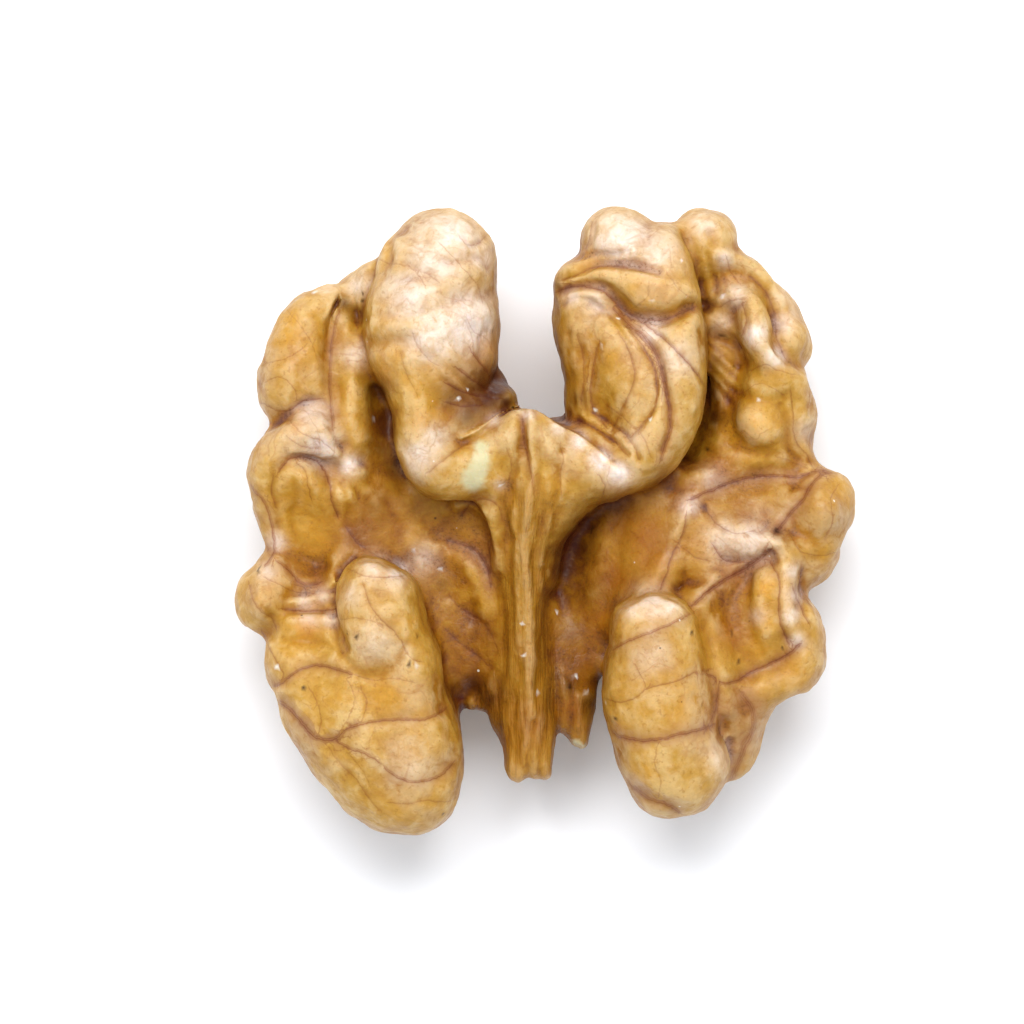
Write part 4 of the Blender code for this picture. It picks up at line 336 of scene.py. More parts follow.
# Veins in the skin: half width, strength, points. Many lie in the grooves.
veins = [
    (0.12, 0.9, [(0.5, 11.5), (0.9, 11.7), (1.5, 11.8), (2.4, 11.7), (3.0, 11.4), (3.5, 10.9), (4.0, 10.5),
                 (5.0, 10.1), (6.0, 10.15), (6.6, 10.4), (7.3, 10.7)]),
    (0.16, 0.9, [(3.4, 10.6), (4.1, 9.9), (4.9, 9.2), (5.4, 8.5), (5.7, 7.6), (5.9, 6.7), (6.1, 5.7),
                 (6.15, 4.7), (5.9, 3.9), (5.7, 3.2)]),
    (0.10, 0.8, [(4.6, 10.1), (5.3, 9.6), (6.2, 8.8), (6.9, 8.1), (7.5, 7.4), (7.8, 6.9)]),
    (0.09, 0.6, [(4.2, 9.6), (4.8, 8.8), (5.3, 7.9), (5.5, 7.0), (5.5, 6.2), (5.3, 5.5), (4.7, 4.8),
                 (4.2, 4.2)]),
    (0.09, 0.6, runs["fanMiddle"]),
    (0.10, 0.7, runs["fanInner"]),
    (0.10, 0.6, [(1.6, 9.3), (1.9, 8.2), (1.9, 7.2), (1.8, 6.2)]),
    (0.08, 0.6, runs["fanFootUpper"]),
    (0.08, 0.5, runs["fanFootLower"]),
    (0.07, 0.5, [(3.0, 5.9), (3.9, 5.2), (4.8, 4.3), (5.2, 3.3)]),
    (0.09, 0.6, [(0.8, 12.1), (1.4, 12.3), (2.0, 12.6), (3.0, 12.8), (4.0, 12.7)]),
    (0.09, 0.6, [(2.3, 14.9), (2.2, 14.2), (2.0, 13.6)]),
    (0.07, 0.5, [(5.1, 11.9), (5.0, 11.2), (4.5, 10.8)]),
    (0.07, 0.4, [(6.0, 12.4), (6.6, 11.6), (7.2, 11.2)]),
    (0.07, 0.5, [(-4.3, 14.2), (-3.9, 13.8), (-3.4, 13.9), (-3.0, 14.3)]),
    (0.08, 0.5, [(-8.4, 13.2), (-7.8, 12.9), (-7.2, 12.85), (-6.6, 12.6), (-5.9, 12.4), (-5.4, 12.0)]),
    (0.06, 0.5, [(-6.9, 12.85), (-6.4, 12.4), (-6.0, 11.8)]),
    (0.06, 0.5, [(-5.3, 13.9), (-4.6, 13.2), (-4.0, 12.5), (-3.4, 11.8), (-3.2, 11.0)]),
    (0.06, 0.4, [(-6.6, 9.4), (-6.4, 8.8), (-5.9, 8.2), (-5.3, 7.8)]),
    (0.06, 0.4, runs["leftHornFlank"]),
    (0.06, 0.4, [(-3.9, 10.1), (-3.6, 9.5), (-3.0, 9.2), (-2.6, 8.4)]),
    (0.13, 0.7, [(-10.3, 10.6), (-10.6, 9.6), (-10.75, 8.4), (-10.8, 7.0), (-10.7, 5.6), (-10.6, 4.7)]),
    (0.06, 0.6, [(-13.9, 7.1), (-13.4, 7.3), (-12.9, 7.1), (-12.5, 6.6), (-12.4, 6.2)]),
    (0.08, 0.7, [(-14.2, 6.0), (-13.3, 5.6), (-12.7, 5.7), (-12.1, 6.1), (-11.3, 6.2)]),
    (0.05, 0.5, [(-13.9, 8.0), (-13.0, 8.2), (-12.3, 8.6), (-11.6, 9.2)]),
    (0.05, 0.4, [(-12.9, 10.6), (-12.2, 9.8), (-11.6, 8.8), (-11.4, 8.0)]),
    (0.10, 0.9, [(-13.3, 2.6), (-12.9, 3.15), (-12.3, 3.3), (-11.6, 3.2), (-11.1, 2.7), (-10.8, 2.0),
                 (-10.7, 1.2), (-10.4, 0.4)]),
    (0.07, 0.6, runs["leftBrowInner"]),
    (0.07, 0.5, [(-12.7, 5.0), (-12.0, 4.4), (-11.2, 4.1), (-10.6, 3.6)]),
    (0.06, 0.5, [(-13.0, 4.4), (-12.3, 3.9), (-11.4, 3.7)]),
    (0.12, 0.9, [(-15.0, 2.2), (-14.5, 1.5), (-14.0, 1.0), (-13.8, 0.3), (-13.6, -0.6), (-13.6, -1.5),
                 (-14.0, -2.1)]),
    (0.08, 0.6, [(-13.6, 2.3), (-13.7, 1.6), (-13.5, 0.9)]),
    (0.14, 0.9, [(-13.4, -1.9), (-12.9, -2.3), (-12.5, -2.8), (-12.0, -3.1), (-11.4, -3.0)]),
    (0.12, 0.8, [(-9.9, -0.3), (-9.5, -0.9), (-9.1, -1.2)]),
    (0.10, 0.7, [(-14.8, -3.1), (-14.6, -3.8), (-14.2, -4.4), (-13.7, -4.7), (-13.5, -5.2)]),
    (0.10, 0.8, [(-13.1, -4.3), (-12.0, -4.4), (-10.6, -4.3)]),
    (0.06, 0.6, [(-14.0, -2.7), (-13.4, -3.0), (-12.6, -3.4), (-11.6, -3.5)]),
    (0.08, 0.7, [(-14.2, -5.4), (-13.8, -6.2), (-13.4, -6.9), (-13.0, -7.6)]),
    (0.14, 0.9, [(-13.8, -8.2), (-13.2, -8.0), (-12.7, -7.6), (-12.0, -7.2), (-11.2, -7.1), (-10.4, -7.3),
                 (-9.6, -7.5)]),
    (0.07, 0.5, [(-9.6, -7.5), (-8.6, -7.8), (-7.6, -7.7), (-6.6, -7.9)]),
    (0.20, 1.0, [(-13.9, -8.7), (-13.2, -9.0), (-12.6, -9.5), (-12.0, -10.1), (-11.6, -10.6),
                 (-11.0, -10.8), (-10.4, -10.7), (-10.1, -10.3), (-9.3, -10.0)]),
    (0.12, 0.9, [(-9.3, -10.0), (-8.4, -9.85), (-7.2, -9.75), (-6.3, -9.8), (-5.6, -9.6), (-5.1, -9.3)]),
    (0.13, 0.9, runs["leftPadFork"]),
    (0.06, 0.6, runs["leftPadSpur"]),
    (0.06, 0.5, [(-12.0, -9.0), (-11.5, -9.3), (-11.1, -8.8)]),
    (0.06, 0.5, [(-10.0, -7.6), (-9.5, -8.6), (-9.8, -9.6), (-10.2, -10.4)]),
    (0.06, 0.5, [(-9.2, -8.2), (-8.9, -8.9), (-9.1, -9.7)]),
    (0.08, 0.6, [(-9.1, -3.0), (-8.8, -3.9), (-8.3, -4.7), (-7.6, -5.3), (-7.1, -6.0), (-6.9, -6.5),
                 (-6.3, -6.9)]),
    (0.06, 0.5, [(-10.2, -4.8), (-9.4, -4.7), (-8.6, -4.9), (-8.0, -5.3)]),
    (0.07, 0.6, [(-9.8, -2.3), (-9.0, -2.6), (-8.0, -2.7), (-7.0, -2.6)]),
    (0.07, 0.5, runs["leftPadRim"]),
    (0.06, 0.4, [(-9.9, -11.4), (-9.2, -12.2), (-8.8, -13.0)]),
    (0.07, 0.5, runs["leftPadTip"]),
    (0.06, 0.4, [(-8.6, -10.4), (-8.8, -11.2), (-8.2, -11.8)]),
    (0.14, 0.8, [(-4.9, -0.9), (-4.0, -1.1), (-3.3, -1.6), (-2.9, -2.3), (-2.8, -3.0)]),
    (0.08, 0.6, [(-4.8, -3.7), (-4.2, -4.3), (-3.3, -4.8), (-2.7, -5.6), (-2.4, -6.4)]),
    (0.08, 0.6, runs["valleyLower"]),
    (0.10, 0.7, [(-4.2, 0.4), (-3.7, 1.05), (-3.0, 1.2), (-2.4, 0.9), (-2.2, 0.3)]),
    (0.12, 0.8, [(-1.15, 5.0), (-1.1, 4.2), (-0.9, 3.3), (-0.7, 2.4), (-0.6, 1.6)]),
    (0.08, 0.5, [(-1.9, 3.6), (-1.7, 2.8), (-1.9, 2.0)]),
    (0.07, 0.5, [(0.7, 3.9), (0.85, 3.2), (0.7, 2.4), (0.75, 1.6)]),
    (0.10, 0.5, [(-5.9, 2.5), (-4.9, 3.3), (-3.9, 4.0)]),
    (0.06, 0.5, runs["bridgeFoot"]),
    (0.16, 1.0, [(7.3, 1.25), (8.2, 1.6), (9.2, 2.0), (10.4, 2.3), (11.6, 2.35), (12.6, 2.3), (13.4, 2.6),
                 (14.2, 2.5)]),
    (0.18, 1.0, runs["tableBrow"]),
    (0.08, 0.6, [(13.4, 2.6), (13.0, 3.4), (12.4, 4.2), (12.3, 5.4), (12.2, 6.6)]),
    (0.07, 0.5, [(13.2, 2.6), (12.4, 3.0), (11.6, 3.3)]),
    (0.06, 0.5, [(7.9, 0.8), (8.5, 0.0), (9.4, -0.5), (10.4, -0.4)]),
    (0.10, 0.8, [(8.4, -1.2), (8.9, -1.8), (9.8, -1.95), (10.6, -1.7), (11.0, -1.1)]),
    (0.10, 0.8, [(7.0, 0.4), (6.9, -0.3), (6.6, -1.0), (6.2, -1.8), (6.0, -2.6), (5.7, -3.2)]),
    (0.06, 0.5, [(6.4, -0.9), (7.3, -1.6), (8.2, -1.9)]),
    (0.17, 1.0, [(11.1, -1.4), (10.5, -1.9), (9.7, -2.4), (9.0, -2.8), (8.2, -3.3), (7.4, -4.0)]),
    (0.10, 0.8, [(11.2, -1.9), (11.6, -2.8), (11.6, -3.8), (11.7, -5.0), (12.1, -6.0)]),
    (0.10, 0.8, [(12.3, -3.2), (12.7, -4.2), (13.1, -5.0)]),
    (0.06, 0.5, [(12.2, -0.6), (12.7, -1.4), (13.6, -1.6), (14.4, -1.5)]),
    (0.14, 1.0, [(12.6, -6.1), (12.0, -6.6), (11.2, -7.0), (10.3, -7.4), (9.6, -7.8), (9.0, -8.0),
                 (8.6, -7.9), (8.2, -7.6), (7.6, -7.4)]),
    (0.14, 0.8, [(8.6, -8.2), (8.5, -9.0), (8.3, -9.7), (8.0, -10.2)]),
    (0.26, 0.8, [(9.2, -12.9), (9.6, -12.0), (9.9, -11.2), (10.3, -10.4), (10.3, -9.4), (9.8, -8.6)]),
    (0.17, 1.0, runs["rightPadCrease"]),
    (0.14, 0.9, [(3.3, -6.3), (4.2, -5.8), (5.0, -5.5), (5.8, -5.2), (6.6, -4.8), (7.2, -4.5)]),
    (0.08, 0.7, [(2.9, -8.7), (3.6, -8.9), (4.4, -8.7), (5.0, -8.2), (5.8, -8.0), (6.6, -7.8), (7.4, -7.4),
                 (8.0, -7.3)]),
    (0.06, 0.6, [(5.0, -8.2), (4.7, -7.6), (4.4, -7.0)]),
    (0.18, 0.9, [(4.4, -13.2), (5.2, -13.8), (6.0, -14.0), (6.6, -14.4)]),
    (0.06, 0.5, [(5.5, -11.1), (5.4, -12.0), (5.7, -12.8), (5.6, -13.6)]),
    (0.07, 0.5, [(7.0, -4.4), (6.6, -4.0), (5.8, -3.7)]),
    (0.08, 0.5, [(8.1, 11.0), (8.6, 10.8), (9.2, 11.1), (9.9, 11.2)]),
    (0.10, 0.7, [(9.8, 10.9), (10.0, 10.2), (9.8, 9.4)]),
    (0.08, 0.6, [(10.2, 12.3), (11.0, 11.5), (11.4, 10.4), (11.5, 9.3), (11.9, 8.3)]),
    (0.07, 0.6, [(9.0, 13.3), (9.2, 12.6), (9.6, 12.0)]),
    (0.06, 0.5, [(10.2, 7.6), (10.9, 7.9), (11.6, 7.6), (12.4, 7.4)]),
    (0.06, 0.5, [(10.0, 6.6), (10.6, 7.0), (11.2, 6.8), (11.8, 6.4)]),
    (0.06, 0.5, [(14.6, 1.9), (14.2, 1.2), (14.3, 0.2), (14.0, -0.6)]),
    # streaks into the pocket
    (0.12, 1.0, [(-4.9, 6.9), (-4.0, 6.5), (-3.1, 6.3), (-2.4, 6.2)]),
    (0.12, 1.0, [(-4.4, 7.7), (-3.5, 7.0), (-2.6, 6.5)]),
    (0.12, 0.9, [(-3.7, 8.5), (-3.0, 7.6), (-2.4, 6.9)]),
    (0.10, 0.9, [(-4.9, 6.0), (-4.0, 5.8), (-3.2, 5.9)]),
]

# Patches of colour with soft edges: x, y, radius, strength.
# paler skin with painted sheen and highlights on the upper faces
paleAndSheenPatches = [
    (-4.8, 14.3, 1.5, 0.7), (-5.5, 13.2, 1.6, 0.6), (-4.0, 10.0, 1.6, 0.85), (-5.6, 9.4, 1.4, 0.7),
    (-6.6, 11.2, 1.5, 0.6), (-3.2, 13.2, 0.9, 0.4), (-6.3, 3.3, 0.8, 0.7), (-5.6, 4.2, 0.7, 0.5),
    (-11.6, 5.3, 0.9, 0.6), (-11.2, 3.7, 0.9, 0.7), (-9.8, 2.9, 0.5, 0.9), (-12.4, 4.2, 0.8, 0.3),
    (-9.5, 8.4, 0.6, 0.5), (-11.0, 12.0, 0.6, 0.4), (-9.3, 11.9, 0.7, 0.5), (-13.5, -0.9, 0.45, 0.7),
    (-13.9, -2.5, 0.5, 0.6), (-12.0, -3.9, 0.4, 0.5), (-11.2, -3.6, 0.4, 0.4), (-11.8, -4.75, 0.5, 0.45),
    (-10.8, -4.8, 0.4, 0.4), (-8.6, -2.2, 0.7, 0.5), (-7.4, -2.5, 0.6, 0.6), (-9.6, -3.6, 0.6, 0.3),
    (-8.5, -5.8, 1.0, 0.3), (-6.2, -1.8, 0.8, 0.35), (5.2, -3.9, 0.8, 0.7), (4.3, -4.2, 0.5, 0.6),
    (6.2, -4.2, 0.5, 0.6), (3.6, 2.4, 0.6, 1.0), (2.7, 3.1, 0.5, 1.0), (1.6, 4.1, 0.4, 0.9),
    (0.6, 4.8, 0.4, 0.6), (-0.9, 5.5, 0.4, 0.6), (-2.6, 5.2, 0.4, 0.4), (3.5, 14.6, 1.2, 0.55),
    (5.4, 13.4, 1.2, 0.5), (5.2, 9.6, 0.7, 0.8), (6.4, 8.2, 0.8, 0.5), (4.4, 4.2, 0.6, 0.3),
    (2.4, 11.0, 0.8, 0.4), (7.8, 15.0, 0.8, 0.4), (8.9, 13.2, 0.4, 0.6), (9.4, 11.4, 0.7, 0.45),
    (10.4, 9.4, 0.6, 0.8), (11.4, 8.3, 0.5, 0.7), (8.8, 10.0, 0.5, 0.4), (7.1, 0.9, 0.5, 0.8),
    (8.3, 2.2, 0.6, 0.5), (10.3, -0.9, 1.1, 0.6), (8.9, -0.9, 1.0, 0.5), (12.3, -2.4, 0.45, 0.5),
    (12.3, -3.6, 0.4, 0.6), (12.2, -4.6, 0.45, 0.6), (12.5, -5.9, 0.4, 0.6), (10.6, -4.6, 0.4, 0.4),
    (8.7, -11.6, 0.9, 0.3), (-2.3, 1.9, 0.3, 0.4), (11.9, 11.4, 0.6, 0.3), (3.8, 14.2, 1.3, 0.8),
    (2.9, 13.9, 0.8, 0.6), (11.9, 9.9, 0.6, 0.5), (12.6, 10.6, 0.5, 0.4), (8.0, 14.9, 0.6, 0.5),
    (12.9, 4.6, 0.6, 0.3), (5.2, -6.4, 0.9, 0.2), (-7.0, -11.8, 1.2, 0.25), (1.3, 11.2, 0.5, 0.5),
]
goldPatches = [
    (1.6, 7.6, 0.9, 0.8), (1.2, 9.2, 0.7, 0.6), (-4.0, -0.5, 1.0, 0.5), (-5.2, -1.6, 0.8, 0.4),
    (-7.9, 8.5, 1.1, 0.8), (-6.4, 7.2, 1.2, 0.6), (-7.9, 10.2, 0.8, 0.5), (-6.6, 12.1, 1.1, 0.4),
    (-7.9, 13.6, 0.5, 0.6), (-4.0, 11.1, 0.8, 0.35), (-3.7, 13.1, 0.6, 0.35), (-3.2, 8.6, 0.8, 0.5),
    (-5.6, 5.6, 0.9, 0.7), (-12.6, 9.8, 1.4, 0.6), (-9.9, 6.2, 0.7, 0.5), (-9.6, 4.4, 0.8, 0.6),
    (-12.4, 4.4, 0.5, 0.5), (-12.2, 1.4, 1.2, 0.7), (-11.4, -0.6, 1.4, 0.8), (-13.9, 3.6, 0.8, 0.4),
    (-12.0, -5.3, 0.9, 0.9), (-11.6, -4.2, 0.5, 0.6), (-13.6, -3.4, 0.7, 0.5), (-12.6, -6.2, 0.7, 0.4),
    (-6.6, -5.2, 0.7, 0.5), (-8.0, -8.4, 1.0, 0.6), (-6.8, -11.1, 0.8, 0.5), (-10.4, -8.8, 1.0, 0.3),
    (-7.4, -14.0, 1.2, 0.4), (5.4, 11.3, 1.5, 0.85), (6.6, 13.5, 0.6, 0.8), (2.4, 13.1, 0.9, 0.7),
    (2.6, 8.8, 1.1, 0.7), (7.0, 9.8, 0.8, 0.5), (10.7, 4.7, 1.1, 1.0), (9.2, 4.6, 0.8, 0.7),
    (9.6, 3.1, 0.8, 0.7), (11.4, 7.6, 0.7, 0.5), (9.4, 12.3, 0.5, 0.8), (8.2, 14.3, 0.5, 0.8),
    (7.1, 14.7, 0.5, 0.6), (12.2, 10.0, 0.8, 0.4), (9.9, 1.6, 1.0, 0.6), (7.2, -0.9, 0.9, 0.4),
    (11.0, -3.2, 0.6, 1.0), (11.0, -5.0, 0.6, 0.9), (10.6, -6.2, 0.7, 0.6), (13.6, -1.0, 1.0, 0.5),
    (15.0, 1.6, 0.8, 0.5), (12.6, -7.4, 0.9, 0.4), (7.2, -9.3, 0.9, 0.6), (5.0, -12.6, 0.9, 0.5),
    (7.4, -5.2, 0.6, 0.5), (3.6, -9.8, 0.6, 0.4), (0.4, 1.6, 0.9, 0.6), (-2.2, 2.0, 0.8, 0.6),
    (-4.6, 1.9, 0.9, 0.4), (4.9, -0.8, 1.2, 0.7), (3.4, -5.0, 0.9, 0.4),
]
# painted shade, deepest in the slots, valleys, gaps and the pocket
deepShadePatches = [
    (-3.1, 6.6, 1.0, 0.9), (-2.4, 6.6, 0.8, 1.0), (-2.0, 7.0, 0.7, 1.0), (-2.2, 7.6, 0.5, 0.8),
    (-3.9, 6.0, 0.8, 0.6), (-2.7, 7.6, 0.6, 0.6), (-2.9, 6.2, 0.8, 1.0), (-2.0, 6.0, 0.5, 1.0),
    (-3.9, 5.4, 0.7, 0.75), (-3.2, 7.3, 0.7, 0.7), (-4.7, 6.2, 0.7, 0.5), (-8.3, 6.6, 0.6, 0.7),
    (-8.2, 5.2, 0.55, 0.9), (-8.2, 3.8, 0.6, 0.6), (-10.1, 11.0, 0.35, 0.7), (-9.4, 10.4, 0.4, 0.4),
    (8.4, 5.3, 0.45, 0.9), (8.3, 6.6, 0.5, 0.5), (8.5, 8.0, 0.5, 0.35), (0.9, -2.3, 0.8, 0.9),
    (1.6, -1.4, 1.0, 0.7), (1.6, 0.0, 0.9, 0.6), (0.5, -1.4, 0.6, 0.8), (3.4, 0.9, 1.0, 0.5),
    (5.6, 2.1, 0.7, 0.4), (-3.6, -8.0, 0.7, 0.8), (-4.6, -8.2, 0.5, 0.6), (-2.8, -8.8, 0.5, 0.8),
    (1.2, -8.0, 0.5, 0.7), (2.2, -9.0, 0.5, 0.7), (0.6, -7.6, 0.4, 0.5), (-2.6, 6.5, 0.9, 1.0),
    (-3.5, 5.9, 0.9, 0.8), (-2.5, 7.3, 0.6, 0.8), (-3.2, -7.8, 1.4, 0.32), (1.5, -7.2, 1.2, 0.3),
    (4.9, -0.6, 1.8, 0.24), (-9.6, -0.5, 1.1, 0.4), (-8.2, 0.6, 1.3, 0.24), (14.0, 0.2, 1.4, 0.14),
    (9.8, 1.3, 1.5, 0.14), (2.6, -3.2, 1.0, 0.28), (1.2, -1.0, 1.3, 0.55), (1.5, -3.4, 1.2, 0.42),
    (1.3, -5.4, 1.0, 0.35), (2.6, 0.6, 1.3, 0.35), (-3.0, -5.5, 0.9, 0.25), (-2.6, -8.6, 0.9, 0.4),
    (-4.6, -7.6, 0.6, 0.25), (2.4, -7.6, 0.8, 0.3), (-2.6, -10.2, 0.6, 0.3), (-8.1, 4.6, 0.6, 0.8),
    (-8.0, 3.0, 0.6, 0.4), (-1.6, 2.8, 0.4, 0.22), (-5.2, -3.0, 0.4, 0.4), (-2.6, -11.0, 0.4, 0.6),
    (-6.6, 0.6, 0.5, 0.25), (1.6, 6.2, 0.6, 0.5), (1.3, 7.3, 0.5, 0.4), (0.5, 11.9, 0.3, 0.4),
    (9.3, -9.6, 0.4, 0.3), (11.5, -0.4, 0.25, 0.7),
]
# browner skin and painted shade in the valleys, gullies, slots and the pocket
brownAndShadePatches = [
    (5.2, -1.6, 1.4, 0.8), (4.2, 0.4, 1.6, 0.8), (6.4, 1.8, 1.2, 0.7), (3.4, -2.8, 1.2, 0.8),
    (2.6, -5.0, 1.2, 0.7), (1.9, -7.2, 1.0, 0.7), (1.4, -9.4, 0.8, 0.9), (1.9, -10.2, 0.6, 0.6),
    (-4.0, -7.4, 1.2, 0.6), (-3.0, -5.6, 0.9, 0.4), (-2.9, -9.6, 0.8, 0.7), (-5.4, -1.4, 1.0, 0.1),
    (-4.6, 0.6, 1.0, 0.15), (-7.6, 1.0, 1.3, 0.55), (-9.4, -1.0, 0.9, 0.6), (-8.3, 5.0, 0.7, 0.9),
    (-8.2, 7.2, 0.6, 0.7), (8.6, 6.0, 0.8, 0.5), (8.8, 8.2, 0.9, 0.5), (8.6, 3.0, 0.8, 0.5),
    (-4.6, 7.0, 1.0, 0.6), (-3.4, 7.8, 0.9, 0.5), (1.4, 7.2, 0.8, 0.15), (1.0, 9.4, 0.7, 0.2),
    (0.8, 11.4, 0.6, 0.3), (-12.4, 5.0, 0.6, 0.4), (-10.5, 9.2, 0.6, 0.5), (9.0, -9.4, 0.8, 0.5),
    (10.6, -8.8, 0.8, 0.4), (9.6, -2.6, 0.7, 0.5), (-8.4, -3.6, 1.4, 0.25), (5.5, -7.5, 2.2, 0.3),
    (5.2, -4.8, 0.9, 0.3), (4.2, 8.0, 1.5, 0.3), (12.1, -3.6, 0.5, 0.35), (9.2, -5.6, 1.0, 0.7),
    (-3.8, 6.2, 1.0, 0.9), (-4.6, 5.8, 0.8, 0.5), (-3.0, 7.3, 1.0, 0.9), (-2.7, 8.6, 0.8, 0.6),
    (-3.9, 7.2, 0.9, 0.5), (-11.8, -5.3, 0.6, 0.5), (-12.6, 8.0, 1.6, 0.3), (-9.5, -0.5, 1.1, 0.9),
    (-7.5, 0.0, 1.2, 0.6), (14.1, 0.9, 1.0, 0.3), (7.8, -1.4, 0.9, 0.2), (12.2, -7.6, 0.9, 0.25),
    (-7.0, -9.0, 1.4, 0.25), (-6.4, 5.0, 0.7, 0.4), (-5.5, 3.0, 0.7, 0.2), (-14.2, -3.7, 0.7, 0.25),
    (-1.0, -10.2, 1.4, 0.5), (5.0, -0.6, 1.2, 1.0), (1.2, 3.0, 0.7, 0.2), (5.0, 4.0, 0.9, 0.25),
    (-3.2, 6.2, 0.9, 0.9), (-2.2, -10.8, 0.8, 0.6), (10.9, -4.0, 0.6, 0.2), (9.8, 0.8, 0.9, 0.2),
]
fleshPatches = [
    (-3.2, 3.75, 0.36, 0.9), (-3.25, 3.2, 0.46, 0.9), (-3.4, 2.65, 0.54, 0.9), (-3.65, 2.2, 0.62, 0.9),
    (1.5, -11.2, 0.35, 0.9), (1.9, -11.4, 0.3, 0.9), (1.3, -11.6, 0.25, 0.8),
]
# Pale crumbs and dark specks: x, y, radius.
crumbs = [
    (-13.45, -7.2, 0.13), (-3.9, -5.15, 0.08), (1.5, -7.7, 0.11), (2.1, -8.5, 0.10), (6.75, 13.1, 0.06),
    (5.3, 11.0, 0.06), (7.0, 11.2, 0.05), (2.75, 8.95, 0.07), (1.55, 8.4, 0.05), (3.55, 10.2, 0.07),
    (5.15, 5.1, 0.06), (2.5, 5.6, 0.10), (8.8, 11.3, 0.10), (10.6, 6.1, 0.06), (11.6, 6.2, 0.06),
    (-11.6, 11.5, 0.08), (-11.4, 7.2, 0.06), (-4.4, 6.2, 0.08), (-4.8, 6.5, 0.06), (-3.9, 6.6, 0.05),
    (-4.7, 7.4, 0.05), (-2.3, 1.9, 0.06), (-8.6, 5.3, 0.04), (-6.5, -7.1, 0.06), (8.6, -6.7, 0.06),
    (3.0, -9.0, 0.05), (-0.4, -8.4, 0.05), (0.6, -4.5, 0.08), (-1.2, -5.0, 0.04), (-1.1, -6.6, 0.04),
    (12.6, -6.9, 0.05), (9.0, 7.1, 0.04), (-6.6, -1.4, 0.07), (-5.9, -1.6, 0.06), (-5.3, -2.3, 0.06),
    (3.9, -3.9, 0.05),
]
specks = [
    (-11.7, 4.15, 0.09), (-12.1, -8.2, 0.10), (-9.5, -5.65, 0.09), (-6.85, -7.0, 0.09), (-6.4, -5.6, 0.08),
    (-6.2, -6.1, 0.06), (-14.4, -2.4, 0.08), (-10.4, -1.6, 0.09), (-9.3, 0.0, 0.07), (-9.15, 11.45, 0.09),
    (-9.15, 11.1, 0.06), (-2.7, 9.5, 0.09), (-3.35, -4.5, 0.09), (-3.35, -5.8, 0.07), (-4.0, -6.7, 0.06),
    (-3.1, -9.5, 0.06), (10.5, 0.7, 0.11), (11.5, -0.4, 0.12), (10.0, -1.65, 0.07), (8.6, -2.7, 0.06),
    (7.25, -5.4, 0.09), (9.3, -5.6, 0.08), (9.65, -6.9, 0.10), (13.0, -5.55, 0.10), (11.75, -6.2, 0.06),
    (3.0, -7.5, 0.06), (5.05, -8.0, 0.06), (6.7, -11.1, 0.06), (3.4, -9.7, 0.08), (5.6, -12.6, 0.07),
    (8.75, 9.4, 0.07), (9.4, 7.8, 0.07), (8.1, 3.7, 0.09), (2.3, -0.3, 0.08), (1.5, -2.0, 0.08),
    (1.2, -8.2, 0.14), (-5.7, -10.5, 0.06), (-6.8, -8.5, 0.06), (-11.0, -6.6, 0.05), (13.0, -2.0, 0.06),
    (-5.1, -14.5, 0.06), (-6.5, -15.5, 0.06),
]


def rising(values, start, run):
    # 0 at start, 1 once a run past it
    return np.clip((values - start) / run, 0, 1)


def smoothCurve(points):
    keys = np.array(points, float)
    padded = np.vstack([2 * keys[0] - keys[1], keys, 2 * keys[-1] - keys[-2]])
    made = []
    for before, start, end, after in zip(padded, padded[1:], padded[2:], padded[3:]):
        count = max(2, int(np.ceil(np.linalg.norm(end - start) / kernelPlan["curveStep"])))
        for t in np.linspace(0, 1, count, endpoint=False):
            slope = (end - before) * t
            bend = (2 * before - 5 * start + 4 * end - after) * t**2
            twist = (3 * start - before - 3 * end + after) * t**3
            made.append(0.5 * (2 * start + slope + bend + twist))
    made.append(keys[-1])
    return np.array(made) + np.array(kernelPlan["planShift"])


def nearCurve(co, curve, reach):
    return np.all((co[:, :2] > curve.min(0) - reach) & (co[:, :2] < curve.max(0) + reach), axis=1)


def gapToCurve(places, curve):
    nearest = np.full(len(places), np.inf)
    for start, end in zip(curve, curve[1:]):
        along = end - start
        share = np.clip(((places - start) @ along) / (along @ along), 0, 1)
        nearest = np.minimum(nearest, np.linalg.norm(places - (start + share[:, None] * along), axis=1))
    return nearest


def readPlaces(obj):
    co = np.empty(len(obj.data.vertices) * 3, np.float32)
    obj.data.vertices.foreach_get("co", co)
    return co.reshape(-1, 3).astype(float) / mm


def readNormals(obj):
    flat = np.empty(len(obj.data.vertices) * 3, np.float32)
    obj.data.vertex_normals.foreach_get("vector", flat)
    return flat.reshape(-1, 3).astype(float)


def writePlaces(obj, co):
    obj.data.vertices.foreach_set("co", (co * mm).astype(np.float32).ravel())
    obj.data.update()


def bakeModifiers(obj):
    graph = bpy.context.evaluated_depsgraph_get()
    made = bpy.data.meshes.new_from_object(obj.evaluated_get(graph))
    old = obj.data
    obj.modifiers.clear()
    obj.data = made
    bpy.data.meshes.remove(old)


def topShare(co, normals):
    # how much of a stroke drawn from above reaches this spot of skin
    return rising(normals[:, 2], *kernelPlan["topTilt"]) * rising(co[:, 2], *kernelPlan["topHeight"])


def strokeField(co, strokes):
    field = np.zeros(len(co))
    for halfWidth, amount, points in strokes:
        curve = smoothCurve(points)
        near = nearCurve(co, curve, kernelPlan["strokeReach"] * halfWidth)
        if near.any():
            gap = gapToCurve(co[near, :2], curve)
            field[near] = np.maximum(field[near], amount * np.exp(-((gap / halfWidth) ** 2)))
    return field


